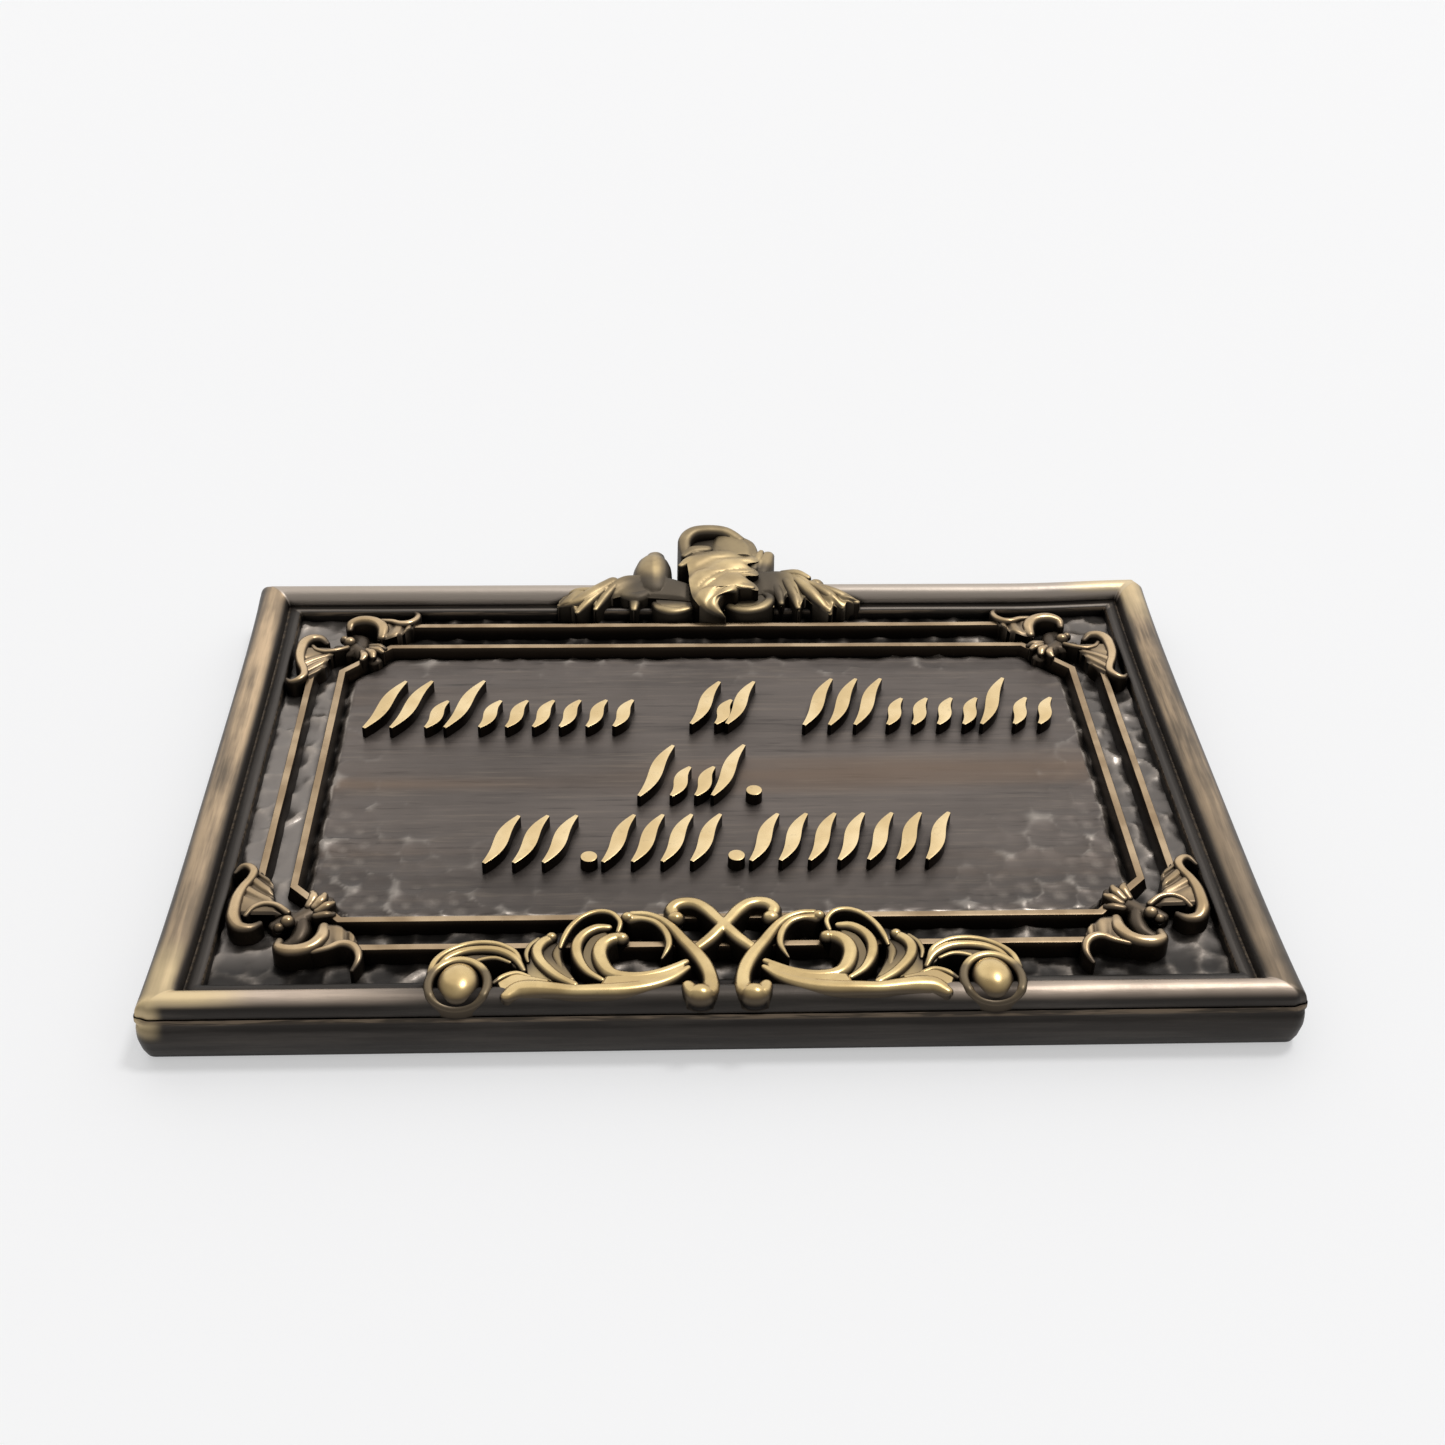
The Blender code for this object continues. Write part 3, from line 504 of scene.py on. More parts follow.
# The two rails, raised from the ground in the same casting. The inner one runs unbroken round the panel with
# clipped corners, and the outer one has four runs that end at the knots. Their flat crowns are rubbed bright.
OUTER_RAIL_HALF = 50.35
OUTER_RAIL_BOTTOM = 10.75
OUTER_RAIL_TOP = 72.6
RAIL_START = 10.8
RAIL_HALF = 0.8
INNER_RAIL_CROWN = 5.25
OUTER_RAIL_CROWN = 5.45
ROOT_HEIGHT = 2.4


def swept(name, stations, section, looped=False):
    """A section carried along the stations, whose values are u, v, half width and height above the back."""
    stations = np.asarray(stations, float)
    line = stations[:, :2]
    if looped:
        way_in = line - np.roll(line, 1, 0)
        way_out = np.roll(line, -1, 0) - line
    else:
        way_out = np.diff(line, axis=0, append=line[-1:] * 2 - line[-2:-1])
        way_in = np.diff(line, axis=0, prepend=line[:1] * 2 - line[1:2])
    way_in /= np.linalg.norm(way_in, axis=1, keepdims=True)
    way_out /= np.linalg.norm(way_out, axis=1, keepdims=True)
    along = way_in + way_out
    along /= np.linalg.norm(along, axis=1, keepdims=True)
    mitre = 1 / np.maximum(np.sum(along * way_out, 1), 0.8)
    rings = []
    for (u, v, half, top), (du, dv), stretch in zip(stations, along, mitre):
        ring = section(half, top)
        rings.append([(u + dv * offset * stretch, v - du * offset * stretch, h) for offset, h in ring])
    return shell(name, rings, looped)


def rail_section(half, top):
    side = [(-half, ROOT_HEIGHT), (-half, 3.85), (-0.72 * half, top - 0.62), (-0.56 * half, top - 0.12)]
    side += [(-0.48 * half, top - 0.03), (-0.3 * half, top)]
    return side + [(-offset, height) for offset, height in reversed(side)]


def rail_line(ends, half, top, seed):
    """Stations every millimetre or so along a straight run or runs, with a slight hand-finished waver."""
    stations = []
    for start, end in zip(ends[:-1], ends[1:]):
        steps = max(2, round(math.dist(start, end) / 1.0))
        for step in range(steps):
            share = step / steps
            stations.append([a + (b - a) * share for a, b in zip(start, end)])
    stations.append(ends[-1])
    stations = np.array(stations)
    wide = half * (1 + waver(len(stations), 0.07, seed))
    return np.column_stack([stations, wide, top + waver(len(stations), 0.03, seed + 50)])


def clipped_corners(half, bottom, top, clip):
    return [
        (half, bottom + clip),
        (half, top - clip),
        (half - clip, top),
        (-half + clip, top),
        (-half, top - clip),
        (-half, bottom + clip),
        (-half + clip, bottom),
        (half - clip, bottom),
    ]


def merged(name, solids):
    """Closed solids united into one body."""
    first, *others = solids
    group = bpy.data.collections.new(name + " shapes")
    for other in others:
        group.objects.link(other)
    union = first.modifiers.new("union", "BOOLEAN")
    union.operation = "UNION"
    union.operand_type = "COLLECTION"
    union.solver = "MANIFOLD"
    union.collection = group
    evaluated = first.evaluated_get(bpy.context.evaluated_depsgraph_get())
    mesh = bpy.data.meshes.new_from_object(evaluated)
    piece = bpy.data.objects.new(name, mesh)
    bpy.context.scene.collection.objects.link(piece)
    for solid in solids:
        bpy.data.objects.remove(solid, do_unlink=True)
    bpy.data.collections.remove(group)
    mesh.materials.clear()
    return piece


corners = clipped_corners(INNER_RAIL_HALF, INNER_RAIL_BOTTOM, INNER_RAIL_TOP, INNER_RAIL_CLIP)
round_panel = rail_line([*corners, corners[0]], RAIL_HALF, INNER_RAIL_CROWN, 11)[:-1]
inner_rail = swept("inner_rail", round_panel, rail_section, looped=True)
outer_runs = []
reach = OUTER_RAIL_HALF - RAIL_START
for index, level_v in enumerate((OUTER_RAIL_BOTTOM, OUTER_RAIL_TOP)):
    run = rail_line([(-reach, level_v), (reach, level_v)], RAIL_HALF, OUTER_RAIL_CROWN, 20 + index)
    outer_runs.append(swept("run", run, rail_section))
for index, level_u in enumerate((-OUTER_RAIL_HALF, OUTER_RAIL_HALF)):
    ends = [(level_u, OUTER_RAIL_BOTTOM + RAIL_START), (level_u, OUTER_RAIL_TOP - RAIL_START)]
    run = rail_line(ends, RAIL_HALF, OUTER_RAIL_CROWN, 30 + index)
    outer_runs.append(swept("run", run, rail_section))
outer_rail = merged("outer_rail", outer_runs)

RAIL_GOLDS = ((0.33, 0.23, 0.135, 1), (0.54, 0.40, 0.25, 1))
FLANK_PAINTED_SHADE = (0.22, 0.14, 0.062, 1)


def relief_brass(name, low, high, golds, body=PATINA_BROWN, sharp=(0.4, 0.93), worn=None, rough=0.4):
    """Rubbed relief: golds on what faces out and stands above low, the body's tone below, black in gaps.

    The function worn, where given, changes how much is rubbed from place to place, and can paint shade and
    highlights there.
    """
    brass = Brass(name)
    cloud = noise(brass.place, 160.0)
    fine = noise(brass.place, 1300.0, 4.0, 0.7)
    out = brass.facing.between(*sharp)
    high_up = brass.height.between(low, high)
    if worn:
        high_up = worn(brass, high_up)
    clear = brass.open.between(0.3, 0.8)
    rubbed = (out * high_up * (0.3 + clear * 0.7) * (0.85 + cloud * 0.3)).held()
    # Painted shade: sides that turn away from the front go black over the patina's brown.
    base = blend(brass.facing.between(-0.1, 0.5), PATINA_BLACK, body)
    metal = blend(cloud.between(0.35, 0.7), *golds)
    metal = blend((fine.between(0.55, 0.8) * 0.25).held(), metal, body)
    # Painted shade: the gold turns brown on its flanks.
    metal = blend(brass.facing.between(0.88, 0.45) * 0.75, metal, FLANK_PAINTED_SHADE)
    colour = blend(rubbed, base, metal)
    colour = blend(brass.open.between(0.42, 0.08), colour, PATINA_BLACK)
    gloss = rough - rubbed * 0.16 + fine * 0.08
    return brass.paint(colour, gloss, 0.95, fine, 0.000005)


rail_brass = relief_brass("rail brass", 4.5, 5.2, RAIL_GOLDS)
for rail in (inner_rail, outer_rail):
    smooth_over(rail, 35)
    rail.data.materials.append(rail_brass)
    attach(rail, "root")
    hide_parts("plaque")

# The acanthus knots over the rails' corners, cast with them: from a short stem on the corner two curled
# leaves run out along the rails, and a palm of small lobes fills the inner corner. In the stops a runs along
# the rail from its corner and b across it, then come the half width and the height.
KNOT_ALONG = (
    ((3.6, 0.9, 0.5, 5.8), (3.7, -0.1, 0.7, 6.1), (4.7, -0.75, 0.85, 6.3), (6.1, -0.7, 0.85, 6.35),
     (7.3, 0.0, 0.85, 6.35), (8.0, 1.3, 0.85, 6.3), (8.0, 2.9, 0.7, 6.0)),
    ((7.4, -0.9, 0.35, 5.9), (8.9, -0.5, 0.42, 6.1), (10.1, 0.1, 0.5, 6.2), (11.2, -0.05, 0.55, 6.2),
     (12.0, -0.95, 0.5, 6.1), (12.2, -2.2, 0.4, 5.9), (11.7, -3.4, 0.25, 5.5)),
    ((5.2, 5.2, 0.9, 5.5), (5.5, 3.7, 1.0, 5.4), (5.2, 2.3, 1.0, 5.2), (4.4, 1.6, 0.8, 4.9)),
)
KNOT_UPRIGHT = (
    ((3.9, 1.0, 0.4, 5.6), (3.1, 0.2, 0.6, 5.9), (3.2, -1.0, 0.75, 6.1), (4.4, -1.75, 0.8, 6.3),
     (6.0, -1.9, 0.75, 6.35), (7.6, -1.85, 0.7, 6.35), (9.2, -1.5, 0.6, 6.3), (10.8, -0.9, 0.55, 6.2),
     (12.0, -0.8, 0.55, 6.2), (12.9, -1.5, 0.5, 6.1), (13.0, -2.3, 0.4, 5.9), (12.2, -2.9, 0.22, 5.6)),
    ((5.0, -0.6, 0.3, 5.8), (6.0, 0.0, 0.35, 6.0), (6.6, 1.2, 0.35, 6.1), (6.3, 2.6, 0.35, 6.1),
     (5.4, 3.8, 0.4, 5.9)),
    ((5.2, 5.2, 0.9, 5.5), (5.2, 3.9, 0.9, 5.4), (4.4, 2.6, 0.8, 5.1)),
)
KNOT_PALM = (
    ((5.9, 6.5, 0.5, 5.9), (6.3, 7.6, 0.6, 6.2), (6.1, 8.3, 0.4, 6.0)),
    ((6.6, 6.2, 0.5, 6.0), (7.2, 7.0, 0.62, 6.3), (7.4, 7.8, 0.45, 6.1)),
    ((7.0, 5.6, 0.5, 5.9), (7.9, 6.2, 0.6, 6.2), (8.4, 6.6, 0.4, 6.0)),
    ((6.9, 4.9, 0.45, 5.8), (8.0, 5.1, 0.5, 5.9), (8.6, 5.3, 0.35, 5.6)),
)
KNOT_LEAF_ALONG = (
    ((7.6, 3.6, 5.7), (9.3, 3.2, 5.9), (10.8, 2.2, 5.9), (11.8, 0.8, 5.8), (12.2, -1.0, 5.5)),
    ((6.8, -0.7, 5.7), (8.6, -0.5, 5.7), (10.1, 0.1, 5.7), (11.2, -0.1, 5.7), (12.0, -1.6, 5.4)),
)
KNOT_LEAF_UPRIGHT = (
    ((5.3, 3.2, 5.6), (6.9, 2.3, 5.8), (8.4, 1.8, 5.9), (10.2, 1.5, 5.8), (12.2, 0.0, 5.6)),
    ((5.2, -1.8, 5.8), (7.6, -1.7, 5.9), (9.4, -1.4, 5.9), (11.0, -0.8, 5.8), (12.4, -0.9, 5.6)),
)
KNOT_STEM = ((4.6, 4.6, 0.95, 5.6), (6.0, 6.0, 1.2, 5.6), (7.6, 7.6, 0.9, 5.5))
KNOT_BOSSES = ((4.0, 4.0, 0.85, 6.2), (3.2, 3.2, 0.62, 5.9))
CURVE_STEP = 0.4


def curve_through(stops, spacing=CURVE_STEP):
    """Stations on a smooth curve through the stops, with rounded ends."""
    stops = np.asarray(stops, float)
    stations = []
    for index in range(len(stops) - 1):
        first = stops[max(index - 1, 0)]
        start = stops[index]
        end = stops[index + 1]
        last = stops[min(index + 2, len(stops) - 1)]
        steps = max(2, math.ceil(math.dist(start[:2], end[:2]) / spacing))
        for t in np.arange(steps) / steps:
            bend = (2 * first - 5 * start + 4 * end - last) * t * t
            twist = (3 * start - first - 3 * end + last) * t**3
            stations.append(0.5 * (2 * start + (end - first) * t + (bend + twist)))
    stations.append(stops[-1])
    first_cap = end_cap(stations[1], stations[0])[::-1]
    return np.concatenate([first_cap, stations, end_cap(stations[-2], stations[-1])])


def end_cap(before, end):
    """Stations that round off a strand past its end."""
    way = (end[:2] - before[:2]) / math.dist(end[:2], before[:2])
    cap = []
    for turn in np.radians((30, 55, 75)):
        half = end[2] * math.cos(turn)
        place = end[:2] + way * end[2] * math.sin(turn)
        cap.append((*place, half, end[3] - 0.55 * (end[2] - half)))
    return np.array(cap)


def strand_section(foot, depth=1.0):
    """The section of a rounded strand, whose depth says how far its crown falls to the sides."""

    def section(half, top):
        fall = depth * half
        side = [(-1.08 * half, foot), (-1.0 * half, top - 0.8 * fall), (-0.86 * half, top - 0.42 * fall)]
        side += [(-0.62 * half, top - 0.17 * fall), (-0.32 * half, top - 0.03 * fall)]
        return side + [(0.0, top)] + [(-offset, height) for offset, height in reversed(side)]

    return section


def strand(stops, foot=ROOT_HEIGHT, depth=1.0):
    return swept("strand", curve_through(stops), strand_section(foot, depth))


def through(stops, spots):
    """Points of a smooth line through the stops, at spots between 0 and 1 of its length."""
    stops = np.asarray(stops, float)
    spans = spots * (len(stops) - 1)
    index = np.minimum(spans.astype(int), len(stops) - 2)
    t = (spans - index)[:, None]
    first, start = stops[np.maximum(index - 1, 0)], stops[index]
    end, last = stops[index + 1], stops[np.minimum(index + 2, len(stops) - 1)]
    bend = (2 * first - 5 * start + 4 * end - last) * t**2
    twist = (3 * start - first - 3 * end + last) * t**3
    return 0.5 * (2 * start + (end - first) * t + (bend + twist))


def leaf(edges, foot=ROOT_HEIGHT, folds=0, depth=0.0, slope=0.0, belly=0.0, size=(60, 17)):
    """A leaf's body between two edges through stops of u, v and height, with round folds across it."""
    length, width = size
    along = np.linspace(0, 1, length)
    side = np.linspace(0, 1, width)[None, :]
    near, far = (through(stops, along)[:, None] for stops in edges)
    top = near + (far - near) * side[..., None]
    along = along[:, None]
    wave = math.tau * folds * (along - slope * side)
    fold = (np.cos(wave) - 0.25 * np.cos(2 * wave)) * smooth_step(0.1, 0.45, along) if folds else 0.0
    border = np.minimum(np.minimum(side, 1 - side) / 0.12, np.minimum(along, 1 - along) / 0.06)
    top[..., 2] += depth * fold + belly * 4 * side * (1 - side) - 0.25 * (1 - smooth_step(0, 1, border))
    return standing("leaf", top, foot)


def dome(u, v, radii, top, slices=24, bands=12):
    """A round boss whose highest point is at top."""
    wheel = np.linspace(0, math.tau, slices, endpoint=False)
    rings = []
    for turn in np.radians(np.linspace(-84, 84, bands + 1)):
        ring_u = u + radii[0] * math.cos(turn) * np.cos(wheel)
        ring_v = v + radii[1] * math.cos(turn) * np.sin(wheel)
        height = np.full(slices, top - radii[2] + radii[2] * math.sin(turn))
        rings.append(np.column_stack([ring_u, ring_v, height]))
    return shell("boss", rings)


def turned(stops):
    """Stops along the long side, turned to run up the short side."""
    return [(b, a, *rest) for a, b, *rest in stops]


def corner_knot(upper, right):
    """One corner's knot: its stem, the two leaves' strands and bodies, the palm and the bosses."""

    def at_corner(stops):
        head = OUTER_RAIL_TOP if upper else OUTER_RAIL_BOTTOM
        inward = -1 if upper else 1
        return [(right * (OUTER_RAIL_HALF - a), head + inward * b, *rest) for a, b, *rest in stops]

    solids = [strand(at_corner(KNOT_STEM))]
    for stops in (*KNOT_ALONG, *KNOT_PALM, *map(turned, KNOT_UPRIGHT)):
        solids.append(strand(at_corner(stops)))
    edges = [at_corner(edge) for edge in KNOT_LEAF_ALONG]
    solids.append(leaf(edges, folds=3.5, depth=0.14, slope=0.2))
    edges = [at_corner(turned(edge)) for edge in KNOT_LEAF_UPRIGHT]
    solids.append(leaf(edges, folds=4, depth=0.14, slope=0.25))
    for a, b, radius, top in KNOT_BOSSES:
        solids.append(dome(*at_corner([(a, b)])[0], (radius, radius, radius), top, 14, 8))
    return merged(f"knot_{'upper' if upper else 'lower'}_{'right' if right > 0 else 'left'}", solids)


knots = [corner_knot(upper, right) for upper in (False, True) for right in (-1, 1)]
KNOT_GOLDS = ((0.44, 0.31, 0.17, 1), (0.68, 0.50, 0.30, 1))
knot_brass = relief_brass("knot brass", 5.5, 6.25, KNOT_GOLDS, (0.10, 0.077, 0.056, 1))
for knot in knots:
    smooth_over(knot, 50)
    knot.data.materials.append(knot_brass)
    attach(knot, "root")
    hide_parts("plaque")

# The ornament at the foot: two ribbons cross in the middle, fronds scroll out of them to both sides, and a
# long stem runs under the fronds to an egg in a hooded cup. It overlaps the frame's lower bead.
FOOT_STRANDS = (
    ((5.2, 14.4, 0.8, 6.5), (5.5, 15.3, 0.85, 6.6), (4.9, 16.1, 0.85, 6.7), (3.8, 16.35, 0.85, 6.7),
     (2.7, 16.0, 0.85, 6.75), (1.6, 14.9, 0.85, 6.8), (0.7, 13.5, 0.8, 6.85), (-0.4, 11.9, 0.8, 6.9),
     (-1.5, 10.5, 0.8, 6.8), (-2.8, 9.3, 0.75, 6.6)),
    ((9.7, 14.6, 0.45, 6.5), (8.3, 14.5, 0.5, 6.55), (6.9, 13.8, 0.52, 6.6), (5.8, 12.7, 0.55, 6.65),
     (5.0, 11.5, 0.65, 6.7), (4.2, 10.1, 0.75, 6.75), (3.2, 8.5, 0.85, 6.85), (2.3, 6.7, 0.92, 6.95),
     (1.75, 4.9, 0.88, 7.0), (1.6, 3.3, 0.95, 7.1)),
    ((9.9, 13.9, 0.7, 6.5), (8.6, 13.8, 0.42, 6.5), (7.3, 13.3, 0.45, 6.5), (6.4, 12.2, 0.48, 6.5),
     (5.95, 11.0, 0.48, 6.5), (5.85, 9.8, 0.42, 6.4), (6.15, 8.8, 0.3, 6.3), (6.6, 7.9, 0.14, 6.1)),
    ((11.2, 12.0, 0.3, 6.3), (11.0, 13.3, 0.32, 6.5), (11.9, 14.6, 0.36, 6.6), (13.4, 14.9, 0.38, 6.6),
     (15.0, 14.1, 0.38, 6.6), (16.2, 12.5, 0.38, 6.6), (16.9, 10.8, 0.36, 6.5), (17.2, 9.6, 0.25, 6.3)),
    ((17.3, 10.2, 0.35, 6.1), (17.6, 8.8, 0.55, 6.2), (17.3, 7.4, 0.45, 6.2), (16.9, 6.2, 0.3, 6.1)),
    ((12.3, 12.5, 0.5, 6.5), (13.5, 12.4, 0.62, 6.6), (14.7, 11.5, 0.65, 6.65), (15.4, 10.2, 0.66, 6.65),
     (15.5, 8.8, 0.66, 6.65), (15.1, 7.2, 0.62, 6.65), (14.2, 5.6, 0.5, 6.65), (12.8, 4.3, 0.35, 6.7)),
    ((10.9, 10.9, 0.75, 6.7), (11.9, 10.6, 0.85, 6.8), (12.8, 9.7, 0.9, 6.85), (13.1, 8.3, 0.9, 6.9),
     (12.7, 6.6, 0.9, 6.9), (11.8, 5.2, 0.85, 6.95), (10.2, 4.6, 0.75, 7.0), (8.2, 4.7, 0.65, 7.0),
     (6.2, 5.4, 0.6, 6.95), (4.2, 6.7, 0.45, 6.8)),
    ((4.0, 5.9, 0.4, 6.7), (5.8, 4.3, 0.75, 6.95), (8.0, 3.2, 0.95, 7.15), (10.5, 2.6, 1.05, 7.3),
     (13.2, 2.35, 0.95, 7.4), (15.6, 2.3, 0.9, 7.4), (17.6, 2.6, 1.0, 7.4), (19.6, 2.9, 1.25, 7.4),
     (21.2, 2.8, 1.25, 7.3), (22.3, 1.9, 0.75, 7.1)),
    ((20.2, 5.0, 0.25, 6.5), (21.5, 5.5, 0.35, 6.6), (22.8, 5.1, 0.35, 6.6), (23.8, 4.2, 0.22, 6.5)),
    ((18.3, 11.1, 0.66, 6.4), (19.1, 10.3, 0.7, 6.6), (19.6, 9.0, 0.66, 6.7), (19.3, 7.5, 0.66, 6.8),
     (18.4, 6.0, 0.66, 6.9), (17.2, 4.6, 0.6, 7.0), (15.6, 3.3, 0.5, 7.1)),
    ((19.6, 11.0, 0.28, 6.2), (20.4, 9.9, 0.32, 6.3), (20.7, 8.6, 0.3, 6.3), (20.5, 7.6, 0.2, 6.2)),
    ((21.2, 7.2, 0.28, 6.3), (21.9, 8.8, 0.36, 6.5), (23.6, 9.9, 0.38, 6.6), (25.5, 10.2, 0.38, 6.6),
     (27.4, 9.8, 0.4, 6.6), (29.0, 8.7, 0.4, 6.7), (30.0, 7.2, 0.4, 6.85), (30.4, 5.4, 0.36, 6.9)),
    ((20.9, 6.4, 0.34, 6.2), (21.8, 7.9, 0.5, 6.5), (23.4, 9.0, 0.56, 6.6), (25.2, 9.3, 0.56, 6.6),
     (27.2, 9.0, 0.56, 6.6), (28.8, 8.0, 0.5, 6.6), (29.8, 6.5, 0.36, 6.5)),
    ((22.4, 7.4, 0.24, 6.3), (23.8, 8.0, 0.3, 6.4), (25.3, 7.8, 0.3, 6.4), (26.6, 7.1, 0.24, 6.3)),
)
# The lower bodies that join the strands: two edges each, of u, v and height
FOOT_BODIES = (
    (((4.0, 6.9, 6.75), (6.2, 5.5, 6.9), (8.2, 4.8, 6.95), (10.2, 4.7, 6.95), (12.4, 4.6, 6.9)),
     ((4.2, 5.7, 6.7), (6.2, 4.0, 6.9), (8.2, 3.1, 7.05), (10.6, 2.6, 7.1), (13.2, 2.4, 7.1))),
    (((12.4, 12.2, 6.1), (14.1, 11.2, 6.1), (14.9, 8.9, 6.1), (14.5, 7.0, 6.1), (13.2, 5.2, 6.1)),
     ((11.6, 10.9, 6.1), (13.2, 10.2, 6.1), (13.8, 8.7, 6.1), (13.3, 6.8, 6.1), (12.0, 4.9, 6.1))),
    (((16.9, 10.6, 5.7), (17.0, 9.0, 5.8), (16.6, 7.3, 6.0), (15.4, 4.6, 6.2)),
     ((18.4, 11.0, 5.8), (19.2, 9.0, 6.0), (18.7, 7.1, 6.2), (16.6, 4.2, 6.4))),
    (((19.6, 10.4, 5.9), (19.9, 8.7, 6.0), (19.2, 6.6, 6.2), (17.4, 4.2, 6.4)),
     ((20.4, 10.0, 5.7), (20.7, 7.9, 5.8), (20.6, 6.0, 6.1), (20.2, 4.2, 6.4))),
    (((18.0, 4.4, 6.6), (20.2, 5.1, 6.5), (21.8, 5.4, 6.5), (23.6, 4.2, 6.4)),
     ((18.4, 3.0, 7.0), (20.2, 3.4, 7.0), (21.8, 3.2, 6.9), (22.9, 2.4, 6.6))),
    (((20.8, 6.6, 6.0), (22.0, 8.9, 6.15), (25.2, 10.1, 6.2), (28.4, 8.9, 6.2), (30.3, 5.8, 6.2)),
     ((21.8, 6.9, 5.8), (23.2, 7.9, 5.9), (25.2, 8.0, 5.9), (27.0, 7.2, 5.9), (28.4, 5.6, 5.9))),
)
# Round bosses: u, v, the three half sizes and the height of the top
FOOT_BULBS = (
    (5.1, 14.0, 1.05, 1.0, 1.0, 6.75),
    (10.2, 14.1, 0.8, 0.75, 0.8, 6.75),
    (10.8, 10.7, 0.82, 0.82, 0.82, 6.85),
    (18.2, 11.2, 0.68, 0.68, 0.68, 6.6),
    (2.75, 1.75, 1.6, 1.4, 1.45, 7.72),
)
FOOT_HOOK = (
    (1.65, 3.6, 0.95, 7.05), (1.75, 2.5, 1.1, 7.25), (2.5, 1.8, 1.25, 7.5), (3.45, 1.9, 1.1, 7.5),
    (3.9, 2.7, 0.8, 7.35),
)
HOOK_FOOT = 5.5
EGG = (27.4, 4.05)
EGG_RADII = (2.2, 2.85, 1.6)
EGG_TOP = 7.75
CUP_FOOT = 4.3
CUP_CENTRE = 3.68
CUP_RADII = (3.0, 3.56)
CUP_TOP = 7.0
CUP_LOWEST = 5.3
CUP_HALF = 0.52
CUP_LEAN = 1.08
CUP_FLOOR_RADII = (2.6, 3.0, 2.2)
CUP_FLOOR_TOP = 6.9
CUP_STEPS = 64
CUP_SHADE_REACH = 3.2


def over_bead(v):
    """The height at which the cup's ring lies over the frame, down the bead's outer side."""
    return CUP_LOWEST + (CUP_TOP - CUP_LOWEST) * smooth_step(0.4, 2.2, v)


def egg_cup(side):
    """The ring round the egg, drawn in where it leans down over the bead."""
    wheel = np.linspace(0, math.tau, CUP_STEPS, endpoint=False)
    climb = np.linspace(0, 8, 81)
    drawn = climb - (CUP_TOP - over_bead(climb)) * CUP_LEAN
    cup_v = np.interp(CUP_CENTRE + CUP_RADII[1] * np.sin(wheel), drawn, climb)
    cup_u = side * (EGG[0] + CUP_RADII[0] * np.cos(wheel))
    cup = np.column_stack([cup_u, cup_v, np.full(CUP_STEPS, CUP_HALF), over_bead(cup_v)])
    return swept("cup", cup, strand_section(CUP_FOOT), looped=True)


solids = []
for side in (1, -1):
    for stops in FOOT_STRANDS:
        solids.append(strand([(side * u, *rest) for u, *rest in stops]))
    solids.append(strand([(side * u, *rest) for u, *rest in FOOT_HOOK], HOOK_FOOT))
    for u, v, *radii, top in FOOT_BULBS:
        solids.append(dome(side * u, v, radii, top, 24, 12))
    for edges in FOOT_BODIES:
        solids.append(leaf([[(side * u, *rest) for u, *rest in edge] for edge in edges]))
    solids.append(dome(side * EGG[0], EGG[1], CUP_FLOOR_RADII, CUP_FLOOR_TOP, 32, 12))
    solids.append(egg_cup(side))
    solids.append(dome(side * EGG[0], EGG[1], EGG_RADII, EGG_TOP, 32, 18))
foot_ornament = merged("foot_ornament", solids)
smooth_over(foot_ornament, 50)


def foot_wear(brass, high_up):
    """The cup's ring round the egg is painted dark as shade, apart from the hood over it."""
    egg_x = (brass.wide - EGG[0]) * (1 / CUP_RADII[0])
    egg_z = (brass.up - (EGG[1] - PLAQUE_HEIGHT / 2)) * (1 / CUP_SHADE_REACH)
    reach = egg_x * egg_x + egg_z * egg_z
    ring = reach.between(0.64, 0.74) * reach.between(2.0, 1.7) * egg_z.between(0.75, 0.35)
    return high_up * (1 - ring * 0.9)


FOOT_GOLDS = ((0.56, 0.40, 0.185, 1), (0.82, 0.62, 0.31, 1))
FOOT_BODY = (0.12, 0.094, 0.066, 1)
foot_brass = relief_brass("foot ornament brass", 5.9, 6.6, FOOT_GOLDS, FOOT_BODY, worn=foot_wear)
foot_ornament.data.materials.append(foot_brass)
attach(foot_ornament, "root")
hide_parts("plaque")

